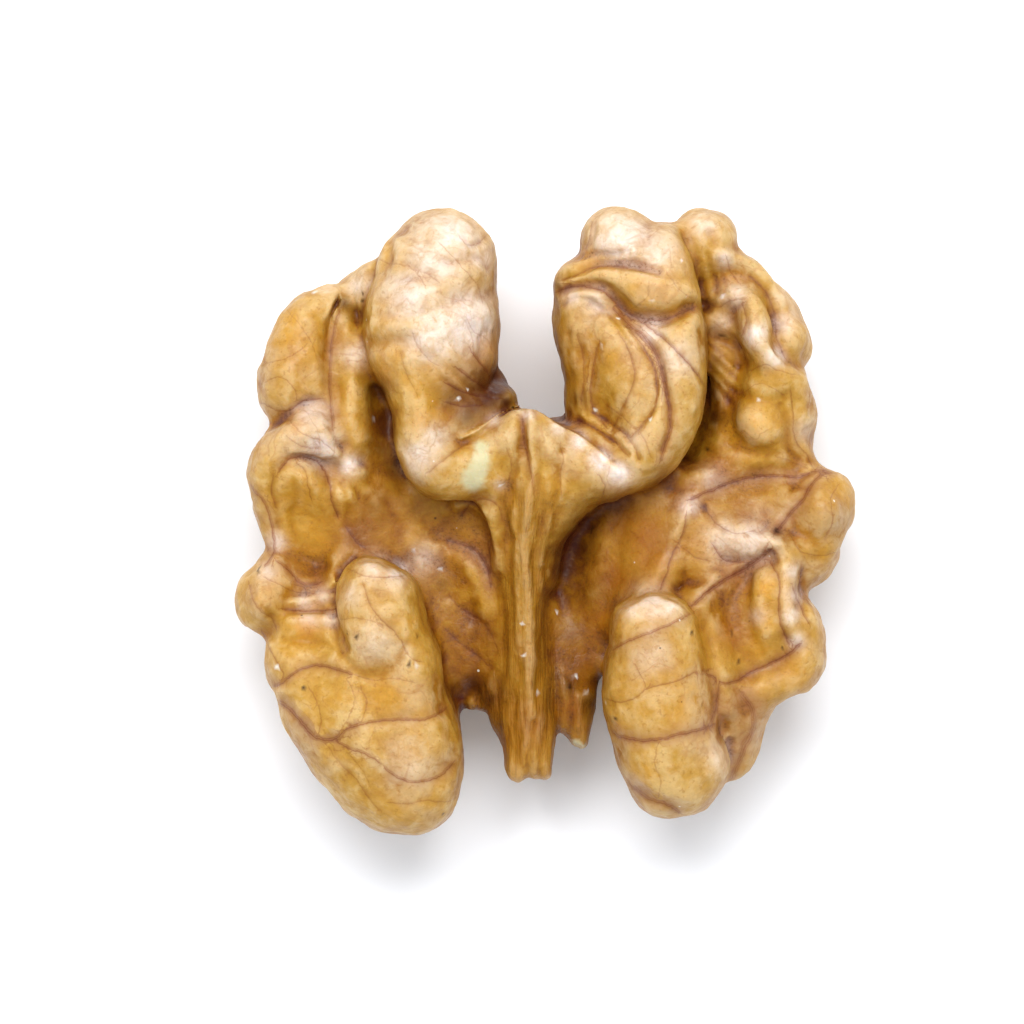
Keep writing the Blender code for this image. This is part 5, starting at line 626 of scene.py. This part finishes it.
def courseField(co, strokes):
    # distance to the nearest stroke, the same with a sign for its side, and that stroke's width and strength
    gap = np.full(len(co), 9.0)  # farther than any stroke reaches
    side, wide, strength = np.ones(len(co)), np.full(len(co), 0.1), np.zeros(len(co))
    for halfWidth, amount, points in strokes:
        curve = smoothCurve(points)
        near = np.nonzero(nearCurve(co, curve, paintPlan["courseReach"]))[0]
        for start, end in zip(curve, curve[1:]):
            along, off = end - start, co[near, :2] - start
            share = np.clip((off @ along) / (along @ along), 0, 1)
            away = np.linalg.norm(off - share[:, None] * along, axis=1)
            turn = np.sign(along[0] * off[:, 1] - along[1] * off[:, 0])
            closer = away < gap[near]
            hit = near[closer]
            gap[hit], side[hit] = away[closer], (turn * away)[closer]
            wide[hit], strength[hit] = halfWidth, amount
    return gap, np.clip(side, -1, 1), wide, strength


def patchField(co, patches, sharpness=2.0):
    field = np.zeros(len(co))
    for x, y, radius, amount in patches:
        centre = np.array((x, y)) + np.array(kernelPlan["planShift"])
        gap = np.linalg.norm(co[:, :2] - centre, axis=1) / radius
        field = np.maximum(field, amount * np.exp(-(gap**sharpness)))
    return field


def lumpField(co, size, seed):
    offset = Vector((seed * 3.1, seed * 1.7, seed * 2.3))  # each seed reads another place of the noise
    return np.array([noise.noise(Vector(place) / size + offset) for place in co])


# The stem, its flare under the bridge and the torn flange beside its end. middle and half give the strip's
# middle line and half width at places down the stem. Two waves of strands run along it, and both weave.
stemPlan = {
    "middle": ([-2.0, 1.0, 7.0, 13.0], [-0.7, -1.1, -1.0, -0.8]),
    "half": ([-3.0, -1.0, 1.0, 7.0, 9.0, 13.0], [2.0, 1.7, 1.3, 1.5, 3.2, 3.2]),
    "edge": 0.5,
    "top": 2.6,
    "topFade": 1.6,
    "strandHeight": 0.05,
    "coarseStrand": 0.95,
    "fineStrand": 0.6,
    "fineShare": 0.5,
    "fineStart": 1.3,
    "weave": ((0.30, 0.5, 0.0), (0.10, 1.3, 1.0)),
    "tilt": (-0.4, 0.6),
}


def fibreShare(co):
    x, y = co[:, 0], co[:, 1] - kernelPlan["planShift"][1]
    middle = np.interp(-y, *stemPlan["middle"])
    half = np.interp(-y, *stemPlan["half"])
    inside = rising(half - np.abs(x - middle), 0, stemPlan["edge"])
    return inside * rising(-y, -stemPlan["top"], stemPlan["topFade"])


def strandField(co):
    weave = sum(size * np.sin(co[:, 1] * turns + start) for size, turns, start in stemPlan["weave"])
    coarse = np.sin((co[:, 0] + weave) * 2 * math.pi / stemPlan["coarseStrand"])
    fine = np.sin((co[:, 0] - weave) * 2 * math.pi / stemPlan["fineStrand"] + stemPlan["fineStart"])
    return coarse + stemPlan["fineShare"] * fine


def copyOfNode(name):
    piece = bpy.data.objects.new("kernelSkin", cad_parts[name].data.copy())
    bpy.context.scene.collection.objects.link(piece)
    shiftX, shiftY = kernelPlan["planShift"]
    bm = bmesh.new()
    bm.from_mesh(piece.data)
    bmesh.ops.remove_doubles(bm, verts=bm.verts, dist=kernelPlan["mergeGap"] * mm)
    for x, y, height, radius in pocketBeads:
        spot = Matrix.Translation(Vector((x + shiftX, y + shiftY, height)) * mm)
        bmesh.ops.create_icosphere(bm, subdivisions=3, radius=radius * mm, matrix=spot)
    bm.to_mesh(piece.data)
    bm.free()
    piece.data.materials.clear()
    return piece


def knit(obj, size):
    weave = obj.modifiers.new("knit", "REMESH")
    weave.mode = "VOXEL"
    weave.voxel_size = size * mm
    bakeModifiers(obj)


def ease(obj, rounds, group=""):
    soften = obj.modifiers.new("ease", "SMOOTH")
    soften.factor = 0.5
    soften.iterations = rounds
    soften.vertex_group = group
    bakeModifiers(obj)
    obj.vertex_groups.clear()


def easeWithin(obj, patches, rounds):
    weights = patchField(readPlaces(obj), patches, paintPlan["crispEdge"])
    weights *= rising(readNormals(obj)[:, 2], *kernelPlan["easeTilt"])
    group = obj.vertex_groups.new(name="eased")
    step = kernelPlan["weightStep"]
    for weight in np.arange(step, 1.01, step):
        group.add(np.nonzero(weights > weight - step / 2)[0].tolist(), float(weight), "REPLACE")
    ease(obj, rounds, group.name)


def countTriangles(obj):
    return sum(len(p.vertices) - 2 for p in obj.data.polygons)


def thin(obj, ratio, group=""):
    fewer = obj.modifiers.new("fewer", "DECIMATE")
    fewer.ratio = min(1.0, ratio)
    fewer.vertex_group = group
    bakeModifiers(obj)
    obj.vertex_groups.clear()


def shapeSkin(kernel):
    co, normals = readPlaces(kernel), readNormals(kernel)
    move = strokeField(co, crests) - kernelPlan["grooveShare"] * strokeField(co, grooves)
    move = move * topShare(co, normals)
    for seed, (size, height) in enumerate(kernelPlan["lumps"]):
        move += height * lumpField(co, size, seed + kernelPlan["seed"])
    fibres = fibreShare(co) * rising(normals[:, 2], *stemPlan["tilt"])
    move += fibres * stemPlan["strandHeight"] * strandField(co)
    # the finished skin stays within the solid's own box
    low, high = (np.array(corner) / mm for corner in boundsBefore)
    gap = kernelPlan["boxGap"]
    writePlaces(kernel, np.clip(co + normals * move[:, None], low + gap, high - gap))
    print("grooves and crests shaped")


def hollowField(kernel):
    # hollows and crests, from how far eased copies of the skin lie above or below it
    co, normals = readPlaces(kernel), readNormals(kernel)
    hollow = np.zeros(len(co))
    for rounds, weight in kernelPlan["hollowRounds"]:
        eased = kernel.copy()
        eased.data = kernel.data.copy()
        bpy.context.scene.collection.objects.link(eased)
        ease(eased, rounds)
        rise = np.sum((readPlaces(eased) - co) * normals, axis=1)
        hollow += weight * rise / np.percentile(np.abs(rise), kernelPlan["hollowCentile"])
        bpy.data.objects.remove(eased)
    return hollow


def thinKernel(kernel):
    # the back carries fewer points than the folds
    height, tilt = kernelPlan["backHeight"], kernelPlan["backTilt"]
    co, normals = readPlaces(kernel), readNormals(kernel)
    back = kernel.vertex_groups.new(name="back")
    back.add(np.nonzero((co[:, 2] < height) | (normals[:, 2] < tilt))[0].tolist(), 1.0, "REPLACE")
    faces = kernel.data.polygons
    backFaces = sum(1 for p in faces if p.center[2] < height * mm or p.normal[2] < tilt)
    print("before thinning:", len(faces), "faces,", backFaces, "on the back")
    thin(kernel, 1 - kernelPlan["backThinning"] * backFaces / len(faces), back.name)
    thin(kernel, kernelPlan["triangles"] / countTriangles(kernel))
    print("kernel thinned:", countTriangles(kernel), "triangles")


def makeKernel():
    kernel = copyOfNode("walnut_kernel")
    knit(kernel, kernelPlan["knitSize"])
    ease(kernel, kernelPlan["easeRounds"])
    co = readPlaces(kernel)
    co[:, 2] += strokeField(co, fills) * topShare(co, readNormals(kernel))
    writePlaces(kernel, co)
    easeWithin(kernel, easedPatches, kernelPlan["patchRounds"])
    print("kernel knitted:", len(kernel.data.vertices), "points")

    shapeSkin(kernel)
    layer = kernel.data.attributes.new("hollow", "FLOAT", "POINT")
    layer.data.foreach_set("value", hollowField(kernel).astype(np.float32))
    thinKernel(kernel)
    return kernel


# What the paint on the skin's points is worked out from
paintPlan = {
    # shares of the shade depth that sets the base colour: painted shade in hollows, on low ground and on
    # steep faces
    "everywhere": 0.24,
    "hollow": 0.14,
    "low": 0.50,
    "steep": 0.20,
    # low ground starts this far up and is full this far below that, away from the rim
    "lowHeight": (12.6, 8.0),
    "lowTilt": (-0.3, 0.6),
    "rim": (15.2, 15.4),
    "rimShare": 1.25,
    "courseReach": 0.9,
    "haloWidth": (0.05, 0.12),
    "haloReach": 2.6,
    "shadeTilt": (-0.5, 0.4),
    "speckShare": 0.85,
    "crispEdge": 6.0,
    "fleshEdge": 8.0,
}


def paint(obj, name, values):
    layer = obj.data.attributes.new(name, "FLOAT", "POINT")
    layer.data.foreach_set("value", np.clip(values, 0, 1).astype(np.float32))


# painted shade: deeper in hollows, on low ground away from the rim and on steep faces
def shadeDepthField(kernel, co, normals):
    hollow = np.empty(len(co), np.float32)
    kernel.data.attributes["hollow"].data.foreach_get("value", hollow)
    start, run = paintPlan["lowHeight"]
    low = rising(-co[:, 2], -start, run) * rising(normals[:, 2], *paintPlan["lowTilt"])
    rimX, rimY = paintPlan["rim"]
    inward = np.clip(paintPlan["rimShare"] - (co[:, 0] / rimX) ** 2 - (co[:, 1] / rimY) ** 2, 0, 1)
    steep = np.clip(1 - normals[:, 2], 0, 1)
    shadeDepth = paintPlan["everywhere"] + paintPlan["hollow"] * hollow
    return shadeDepth + paintPlan["low"] * low * inward + paintPlan["steep"] * steep


def paintKernel(kernel):
    co, normals = readPlaces(kernel), readNormals(kernel)
    share = topShare(co, normals)
    # painted shade that darkens the base colour
    paint(kernel, "shadeDepth", shadeDepthField(kernel, co, normals))

    gap, side, wide, strength = courseField(co, veins)
    paint(kernel, "veinSide", 0.5 + 0.5 * side)
    paint(kernel, "veinWide", wide)
    halo = rising(wide, *paintPlan["haloWidth"]) * np.exp(-((gap / (paintPlan["haloReach"] * wide)) ** 2))
    paint(kernel, "veinHalo", strength * halo * share)
    # a vein is at full strength out to its edge and fades a little past it
    course = np.clip(1.5 - gap / (1.6 * wide + 0.1), 0, 1)
    paint(kernel, "vein", strength * course * np.clip(share * 1.5, 0, 1))

    # paler skin with painted sheen on the tops
    paint(kernel, "paleAndSheen", patchField(co, paleAndSheenPatches) * share)
    paint(kernel, "gold", patchField(co, goldPatches) * share)
    upper = rising(normals[:, 2], *paintPlan["shadeTilt"])
    # browner skin and painted shade in the valleys
    paint(kernel, "brownAndShade", patchField(co, brownAndShadePatches) * upper)
    # deep painted shade in the slots, valleys, gaps and the pocket
    paint(kernel, "deepShade", patchField(co, deepShadePatches) * upper)
    paint(kernel, "flesh", patchField(co, fleshPatches, paintPlan["fleshEdge"]) * share)
    for name, spots, size in (("crumbAndGlint", crumbs, 1.0), ("speck", specks, paintPlan["speckShare"])):
        discs = [(x, y, size * radius, 1.0) for x, y, radius in spots]
        paint(kernel, name, patchField(co, discs, paintPlan["crispEdge"]) * share)
    paint(kernel, "fibre", fibreShare(co))
    print("kernel painted")


def colour(red, green, blue):
    # from sRGB, 0 to 255, to the shader's linear scale
    return tuple((v / 255 / 12.92 if v / 255 <= 0.04045 else ((v / 255 + 0.055) / 1.055) ** 2.4)
                 for v in (red, green, blue)) + (1.0,)


skinPlan = {
    # from the crests down to the folds: the skin's tone at the crests, darkening into painted shade in the
    # folds
    "tonesIntoShade": ((0.0, (199, 164, 104)), (0.2, (184, 140, 60)), (0.4, (168, 120, 33)), (0.6, (151, 98, 15)),
              (0.8, (122, 70, 10)), (1.0, (84, 28, 6))),
    "gold": (202, 144, 40),
    # paler skin with painted sheen
    "paleAndSheen": (238, 226, 220),
    # pale mottling on the crests, partly painted sheen
    "paleMottleAndSheen": (212, 190, 152),
    "pore": (150, 98, 28),
    "grain": (92, 50, 14),
    "vein": (198, 162, 150),
    "veinHalo": (150, 106, 78),
    "fineVein": (158, 100, 50),
    # browner skin and painted shade
    "brownAndShade": (226, 178, 120),
    # deep painted shade
    "deepShade": (66, 24, 6),
    # pale crumbs, and tiny painted glints
    "flesh": (200, 193, 152),
    "crumbAndGlint": (225, 220, 210),
    "speck": (52, 24, 2),
    "fibre": (154, 102, 22),
    "fibreDark": (120, 72, 10),
    "fibreLight": (176, 128, 44),
    # how far the clouds move the shade depth, and the edge of a vein
    "broadSwing": 0.8,
    "middlingSwing": 0.6,
    "fraySwing": 0.22,
    # strands across a vein to a millimetre of its width, and how far they waver
    "veinStrands": 60.0,
    "veinWaver": 6.0,
    "fibreShare": 0.5,
    "fibreStretch": (3.6, 0.22, 2.0),
    "deepShadeShare": 0.95,
    "poresOnPale": 0.9,
    "dotsPerMm": 0.9,
    "darkDots": 0.1,
    "glintDots": 0.93,
    "surface": {
        "Specular IOR Level": 0.25,
        "Subsurface Weight": 0.28,
        "Subsurface Radius": (1.0, 0.45, 0.18),
        "Subsurface Scale": 0.6 * mm,
    },
    "wrinkleRelief": 0.09,
    "fibreRelief": 0.3,
    "bump": {"Distance": mm, "Strength": 0.6},
}

# Noise clouds: waves to a millimetre, detail, roughness, distortion.
clouds = {
    "broad": (0.38, 2.0, 0.5, 0.0),
    "middling": (1.3, 3.0, 0.6, 0.6),
    "fine": (5.0, 3.0, 0.65, 0.0),
    "wideVein": (0.30, 3.0, 0.5, 0.5),
    "narrowVein": (0.7, 3.0, 0.5, 0.5),
    "fray": (2.2, 3.0, 0.6, 0.0),
    "fibre": (1.0, 3.0, 0.6, 0.0),
    "pore": (4.2, 2.0, 0.5, 0.0),
    "grain": (7.0, 2.0, 0.6, 0.0),
    "wrinkle": (2.6, 4.0, 0.6, 0.5),
}

# Spans: a reading from low to high, and the share that it becomes at each end.
spans = {
    "gold": (0.25, 0.7, 0.3, 0.75),
    "paleMottleAndSheen": (0.48, 0.66, 0.0, 0.35),
    "crest": (0.3, 0.6, 1.0, 0.0),
    "paleAndSheen": (0.3, 0.7, 1.1, 0.6),
    "wideVein": (0.0, 0.02, 1.0, 0.0),
    "wideVeinGate": (0.42, 0.6, 0.0, 0.3),
    "narrowVein": (0.0, 0.028, 1.0, 0.0),
    "narrowVeinGate": (0.42, 0.6, 0.0, 0.2),
    "veinCore": (0.1, 1.1, 1.0, 0.0),
    "veinStrand": (-1.0, 1.0, 0.55, 1.0),
    "veinHalo": (0.3, 0.7, 0.35, 0.7),
    "fibreDark": (0.5, 0.72, 0.0, 0.55),
    "fibreLight": (0.28, 0.46, 0.4, 0.0),
    "pore": (0.58, 0.72, 0.0, 0.4),
    "grain": (0.5, 0.66, 0.0, 0.5),
    "valley": (0.45, 0.8, 0.0, 1.0),
    "mottle": (0.25, 0.75, 0.93, 1.05),
    "brownAndShade": (0.25, 0.7, 0.9, 0.5),
    "dot": (0.035, 0.075, 0.75, 0.0),
    "roughness": (0.3, 0.7, 0.34, 0.48),
}


class Board:
    def __init__(self, material):
        self.nodes = material.node_tree.nodes
        self.links = material.node_tree.links
        self.inMm = self.scaled(self.add("ShaderNodeTexCoord").outputs["Object"], 1 / mm)

    def add(self, kind, **settings):
        node = self.nodes.new(kind)
        for key, value in settings.items():
            setattr(node, key, value)
        return node

    def feed(self, node, socket, value):
        if hasattr(value, "is_output"):
            self.links.new(value, node.inputs[socket])
        else:
            node.inputs[socket].default_value = value

    def scaled(self, value, factor):
        node = self.add("ShaderNodeVectorMath", operation="SCALE")
        self.feed(node, 0, value)
        self.feed(node, "Scale", factor)
        return node.outputs[0]

    def sums(self, operation, a, b=None, c=None, clamp=False):
        node = self.add("ShaderNodeMath", operation=operation, use_clamp=clamp)
        for i, value in enumerate((a, b, c)):
            if value is not None:
                self.feed(node, i, value)
        return node.outputs[0]

    def times(self, a, b, clamp=False):
        return self.sums("MULTIPLY", a, b, clamp=clamp)

    def swing(self, cloud, size):
        return self.times(self.sums("SUBTRACT", cloud, 0.5), size)

    def mask(self, name):
        return self.add("ShaderNodeAttribute", attribute_name=name).outputs["Fac"]

    def cloud(self, name, vector=None):
        node = self.add("ShaderNodeTexNoise")
        self.feed(node, "Vector", vector or self.inMm)
        for socket, value in zip(("Scale", "Detail", "Roughness", "Distortion"), clouds[name]):
            self.feed(node, socket, value)
        return node.outputs["Fac"]

    def span(self, value, name):
        node = self.add("ShaderNodeMapRange", interpolation_type="SMOOTHSTEP")
        for i, item in enumerate((value, *spans[name])):
            self.feed(node, i, item)
        return node.outputs[0]

    def tint(self, base, share, tone, kind="MIX"):
        node = self.add("ShaderNodeMix", data_type="RGBA", blend_type=kind)
        self.feed(node, 0, share)
        self.feed(node, 6, base)
        self.feed(node, 7, colour(*skinPlan[tone]))
        return node.outputs[2]


def foldShadeTones(board, broad, middling):
    # painted shade: the shade depth of the fold darkens the base colour, with clouds in it
    level = board.sums("ADD", board.mask("shadeDepth"), board.swing(broad, skinPlan["broadSwing"]))
    level = board.sums("ADD", level, board.swing(middling, skinPlan["middlingSwing"]))
    ramp = board.add("ShaderNodeValToRGB")
    board.feed(ramp, 0, level)
    bar = ramp.color_ramp
    while len(bar.elements) < len(skinPlan["tonesIntoShade"]):
        bar.elements.new(0.5)
    for element, (position, tone) in zip(bar.elements, skinPlan["tonesIntoShade"]):
        element.position = position
        element.color = colour(*tone)
    return level, ramp.outputs[0]


def goldPaleAndSheen(board, base, level, broad, middling):
    base = board.tint(base, board.times(board.mask("gold"), board.span(middling, "gold")), "gold")
    # pale mottling kept to the crests, partly painted sheen
    crestSheenCloud = board.times(board.span(broad, "paleMottleAndSheen"), board.span(level, "crest"))
    base = board.tint(base, crestSheenCloud, "paleMottleAndSheen")
    # paler skin with painted sheen and highlights
    return board.tint(base, board.times(board.mask("paleAndSheen"), board.span(middling, "paleAndSheen")), "paleAndSheen")


def veinTones(board, base, broad, middling, fine):
    # fine veins wander over the skin where a cloud lets them
    lines = []
    for name, gate in (("wideVein", broad), ("narrowVein", middling)):
        off = board.sums("ABSOLUTE", board.sums("SUBTRACT", board.cloud(name), 0.5))
        lines.append(board.times(board.span(off, name), board.span(gate, name + "Gate")))
    base = board.tint(base, board.sums("MAXIMUM", *lines), "fineVein")
    # each drawn vein is a bundle of thin strands with a frayed edge
    fray = board.swing(board.cloud("fray"), skinPlan["fraySwing"])
    across = board.sums("ADD", board.sums("MULTIPLY_ADD", board.mask("veinSide"), 2.0, -1.0), fray)
    toEdge = board.sums("DIVIDE", board.sums("ABSOLUTE", across), board.mask("veinWide"))
    core = board.span(toEdge, "veinCore")
    waver = board.times(fine, skinPlan["veinWaver"])
    strand = board.sums("SINE", board.sums("ADD", board.times(across, skinPlan["veinStrands"]), waver))
    painted = board.times(core, board.span(strand, "veinStrand"))
    painted = board.times(painted, board.mask("vein"), clamp=True)
    halo = board.times(board.mask("veinHalo"), board.span(fine, "veinHalo"))
    base = board.tint(base, halo, "veinHalo")
    return board.tint(base, painted, "vein", "MULTIPLY")


def stemTones(board, base, fibres):
    stem = board.mask("fibre")
    base = board.tint(base, board.times(stem, skinPlan["fibreShare"]), "fibre")
    for name in ("fibreDark", "fibreLight"):
        base = board.tint(base, board.times(stem, board.span(fibres, name)), name)
    return base


def poresAndShade(board, base, level, middling, fine):
    fewer = board.sums("MULTIPLY_ADD", board.mask("paleAndSheen"), -skinPlan["poresOnPale"], 1.0, clamp=True)
    base = board.tint(base, board.times(board.span(board.cloud("pore"), "pore"), fewer), "pore")
    # dark grain in the valleys
    grains = board.times(board.span(board.cloud("grain"), "grain"), board.span(level, "valley"))
    base = board.tint(base, grains, "grain")
    base = board.scaled(base, board.span(fine, "mottle"))
    # browner skin and painted shade in the valleys
    brownAndShade = board.times(board.mask("brownAndShade"), board.span(middling, "brownAndShade"))
    base = board.tint(base, brownAndShade, "brownAndShade", "MULTIPLY")
    # deep painted shade in the slots, valleys and the pocket
    return board.tint(base, board.times(board.mask("deepShade"), skinPlan["deepShadeShare"]), "deepShade")


def dotsCrumbsAndGlints(board, base):
    dots = board.add("ShaderNodeTexVoronoi", feature="F1")
    board.feed(dots, "Vector", board.inMm)
    board.feed(dots, "Scale", skinPlan["dotsPerMm"])
    tiny = board.span(dots.outputs["Distance"], "dot")
    chosen = board.add("ShaderNodeSeparateColor")
    board.feed(chosen, 0, dots.outputs["Color"])
    darkDots = board.times(tiny, board.sums("LESS_THAN", chosen.outputs[0], skinPlan["darkDots"]))
    # tiny pale dots: painted glints
    glintDots = board.times(tiny, board.sums("GREATER_THAN", chosen.outputs[0], skinPlan["glintDots"]))
    base = board.tint(base, board.sums("MAXIMUM", darkDots, board.mask("speck")), "speck")
    base = board.tint(base, board.mask("flesh"), "flesh")
    # pale crumbs, and the pale dots as painted glints
    return board.tint(base, board.sums("MAXIMUM", glintDots, board.mask("crumbAndGlint")), "crumbAndGlint")


def fineRelief(board, fibres):
    # wrinkles too fine for the mesh
    relief = board.times(board.cloud("wrinkle"), skinPlan["wrinkleRelief"])
    ribs = board.times(board.mask("fibre"), board.times(fibres, skinPlan["fibreRelief"]))
    bump = board.add("ShaderNodeBump")
    board.feed(bump, "Height", board.sums("ADD", relief, ribs))
    for socket, value in skinPlan["bump"].items():
        board.feed(bump, socket, value)
    return bump.outputs[0]


def kernelSkin():
    skin = bpy.data.materials.new("kernelSkin")
    skin.use_nodes = True
    board = Board(skin)
    broad, middling, fine = (board.cloud(name) for name in ("broad", "middling", "fine"))
    stretch = board.add("ShaderNodeVectorMath", operation="MULTIPLY")
    board.feed(stretch, 0, board.inMm)
    board.feed(stretch, 1, skinPlan["fibreStretch"])
    fibres = board.cloud("fibre", stretch.outputs[0])

    level, base = foldShadeTones(board, broad, middling)
    base = goldPaleAndSheen(board, base, level, broad, middling)
    base = veinTones(board, base, broad, middling, fine)
    base = stemTones(board, base, fibres)
    base = poresAndShade(board, base, level, middling, fine)
    base = dotsCrumbsAndGlints(board, base)

    shader = board.nodes["Principled BSDF"]
    board.feed(shader, "Base Color", base)
    board.feed(shader, "Roughness", board.span(middling, "roughness"))
    for socket, value in skinPlan["surface"].items():
        board.feed(shader, socket, value)
    board.feed(shader, "Normal", fineRelief(board, fibres))
    return skin


def dressKernel():
    kernel = makeKernel()
    paintKernel(kernel)
    kernel.data.materials.append(kernelSkin())
    kernel.data.shade_smooth()
    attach(kernel, "root")
    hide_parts("walnut_kernel")
    print("kernel dressed")


# White table, a soft box light from beyond the notch, two weak ones at the sides, and a pale room. The view
# is in millimetres, the table and the lamps in metres: a lamp's place, its size and its share.
studioPlan = {
    "tableSize": 1.6,
    "tableTone": (0.96, 0.97, 1.0, 1.0),
    "tableRoughness": 0.8,
    "viewCentre": (-1.7, 0.435),
    "viewWidth": 51.2,
    "viewHeight": 700.0,
    "focusHeight": 8.0,
    "sensor": 36.0,
    "nearest": 0.01,
    "room": 0.74,
    "roomTone": (0.92, 0.96, 1.0, 1.0),
    "lamps": {
        "notchBox": ((-0.02, 0.27, 0.58), (0.44, 0.30), 0.92),
        "rightBox": ((0.50, 0.05, 0.55), (0.40, 0.40), 0.06),
        "leftBox": ((-0.50, 0.05, 0.55), (0.40, 0.40), 0.06),
    },
}


def makeTable():
    bm = bmesh.new()
    bmesh.ops.create_grid(bm, x_segments=1, y_segments=1, size=studioPlan["tableSize"] / 2)
    mesh = bpy.data.meshes.new("table")
    bm.to_mesh(mesh)
    bm.free()
    table = bpy.data.objects.new("table", mesh)
    bpy.context.scene.collection.objects.link(table)
    white = bpy.data.materials.new("tableWhite")
    white.use_nodes = True
    shader = white.node_tree.nodes["Principled BSDF"]
    shader.inputs["Base Color"].default_value = studioPlan["tableTone"]
    shader.inputs["Roughness"].default_value = studioPlan["tableRoughness"]
    mesh.materials.append(white)


def makeLamps():
    # each lamp's share is how bright it makes a white table under it
    for name, (spot, size, share) in studioPlan["lamps"].items():
        data = bpy.data.lights.new(name, "AREA")
        data.shape = "RECTANGLE"
        data.size, data.size_y = size
        away = Vector(spot)
        data.energy = share * math.pi**2 * away.length_squared / (away.z / away.length)
        lamp = bpy.data.objects.new(name, data)
        lamp.location = away
        lamp.rotation_euler = (-away).to_track_quat("-Z", "Y").to_euler()
        bpy.context.scene.collection.objects.link(lamp)


def makeRoom():
    world = bpy.data.worlds.new("paleRoom")
    world.use_nodes = True
    world.node_tree.nodes["Background"].inputs["Color"].default_value = studioPlan["roomTone"]
    world.node_tree.nodes["Background"].inputs["Strength"].default_value = studioPlan["room"]
    bpy.context.scene.world = world
    bpy.context.scene.view_settings.view_transform = "Standard"
    bpy.context.scene.view_settings.look = "None"


def makeCamera():
    data = bpy.data.cameras.new("overhead")
    data.sensor_width = studioPlan["sensor"]
    data.lens = studioPlan["sensor"] * studioPlan["viewHeight"] / studioPlan["viewWidth"]
    data.clip_start = studioPlan["nearest"]
    camera = bpy.data.objects.new("overhead", data)
    x, y = studioPlan["viewCentre"]
    camera.location = (x * mm, y * mm, (studioPlan["viewHeight"] + studioPlan["focusHeight"]) * mm)
    bpy.context.scene.collection.objects.link(camera)
    bpy.context.scene.camera = camera


def makeStudio():
    makeTable()
    makeLamps()
    makeRoom()
    makeCamera()
    print("studio ready")


dressKernel()
makeStudio()
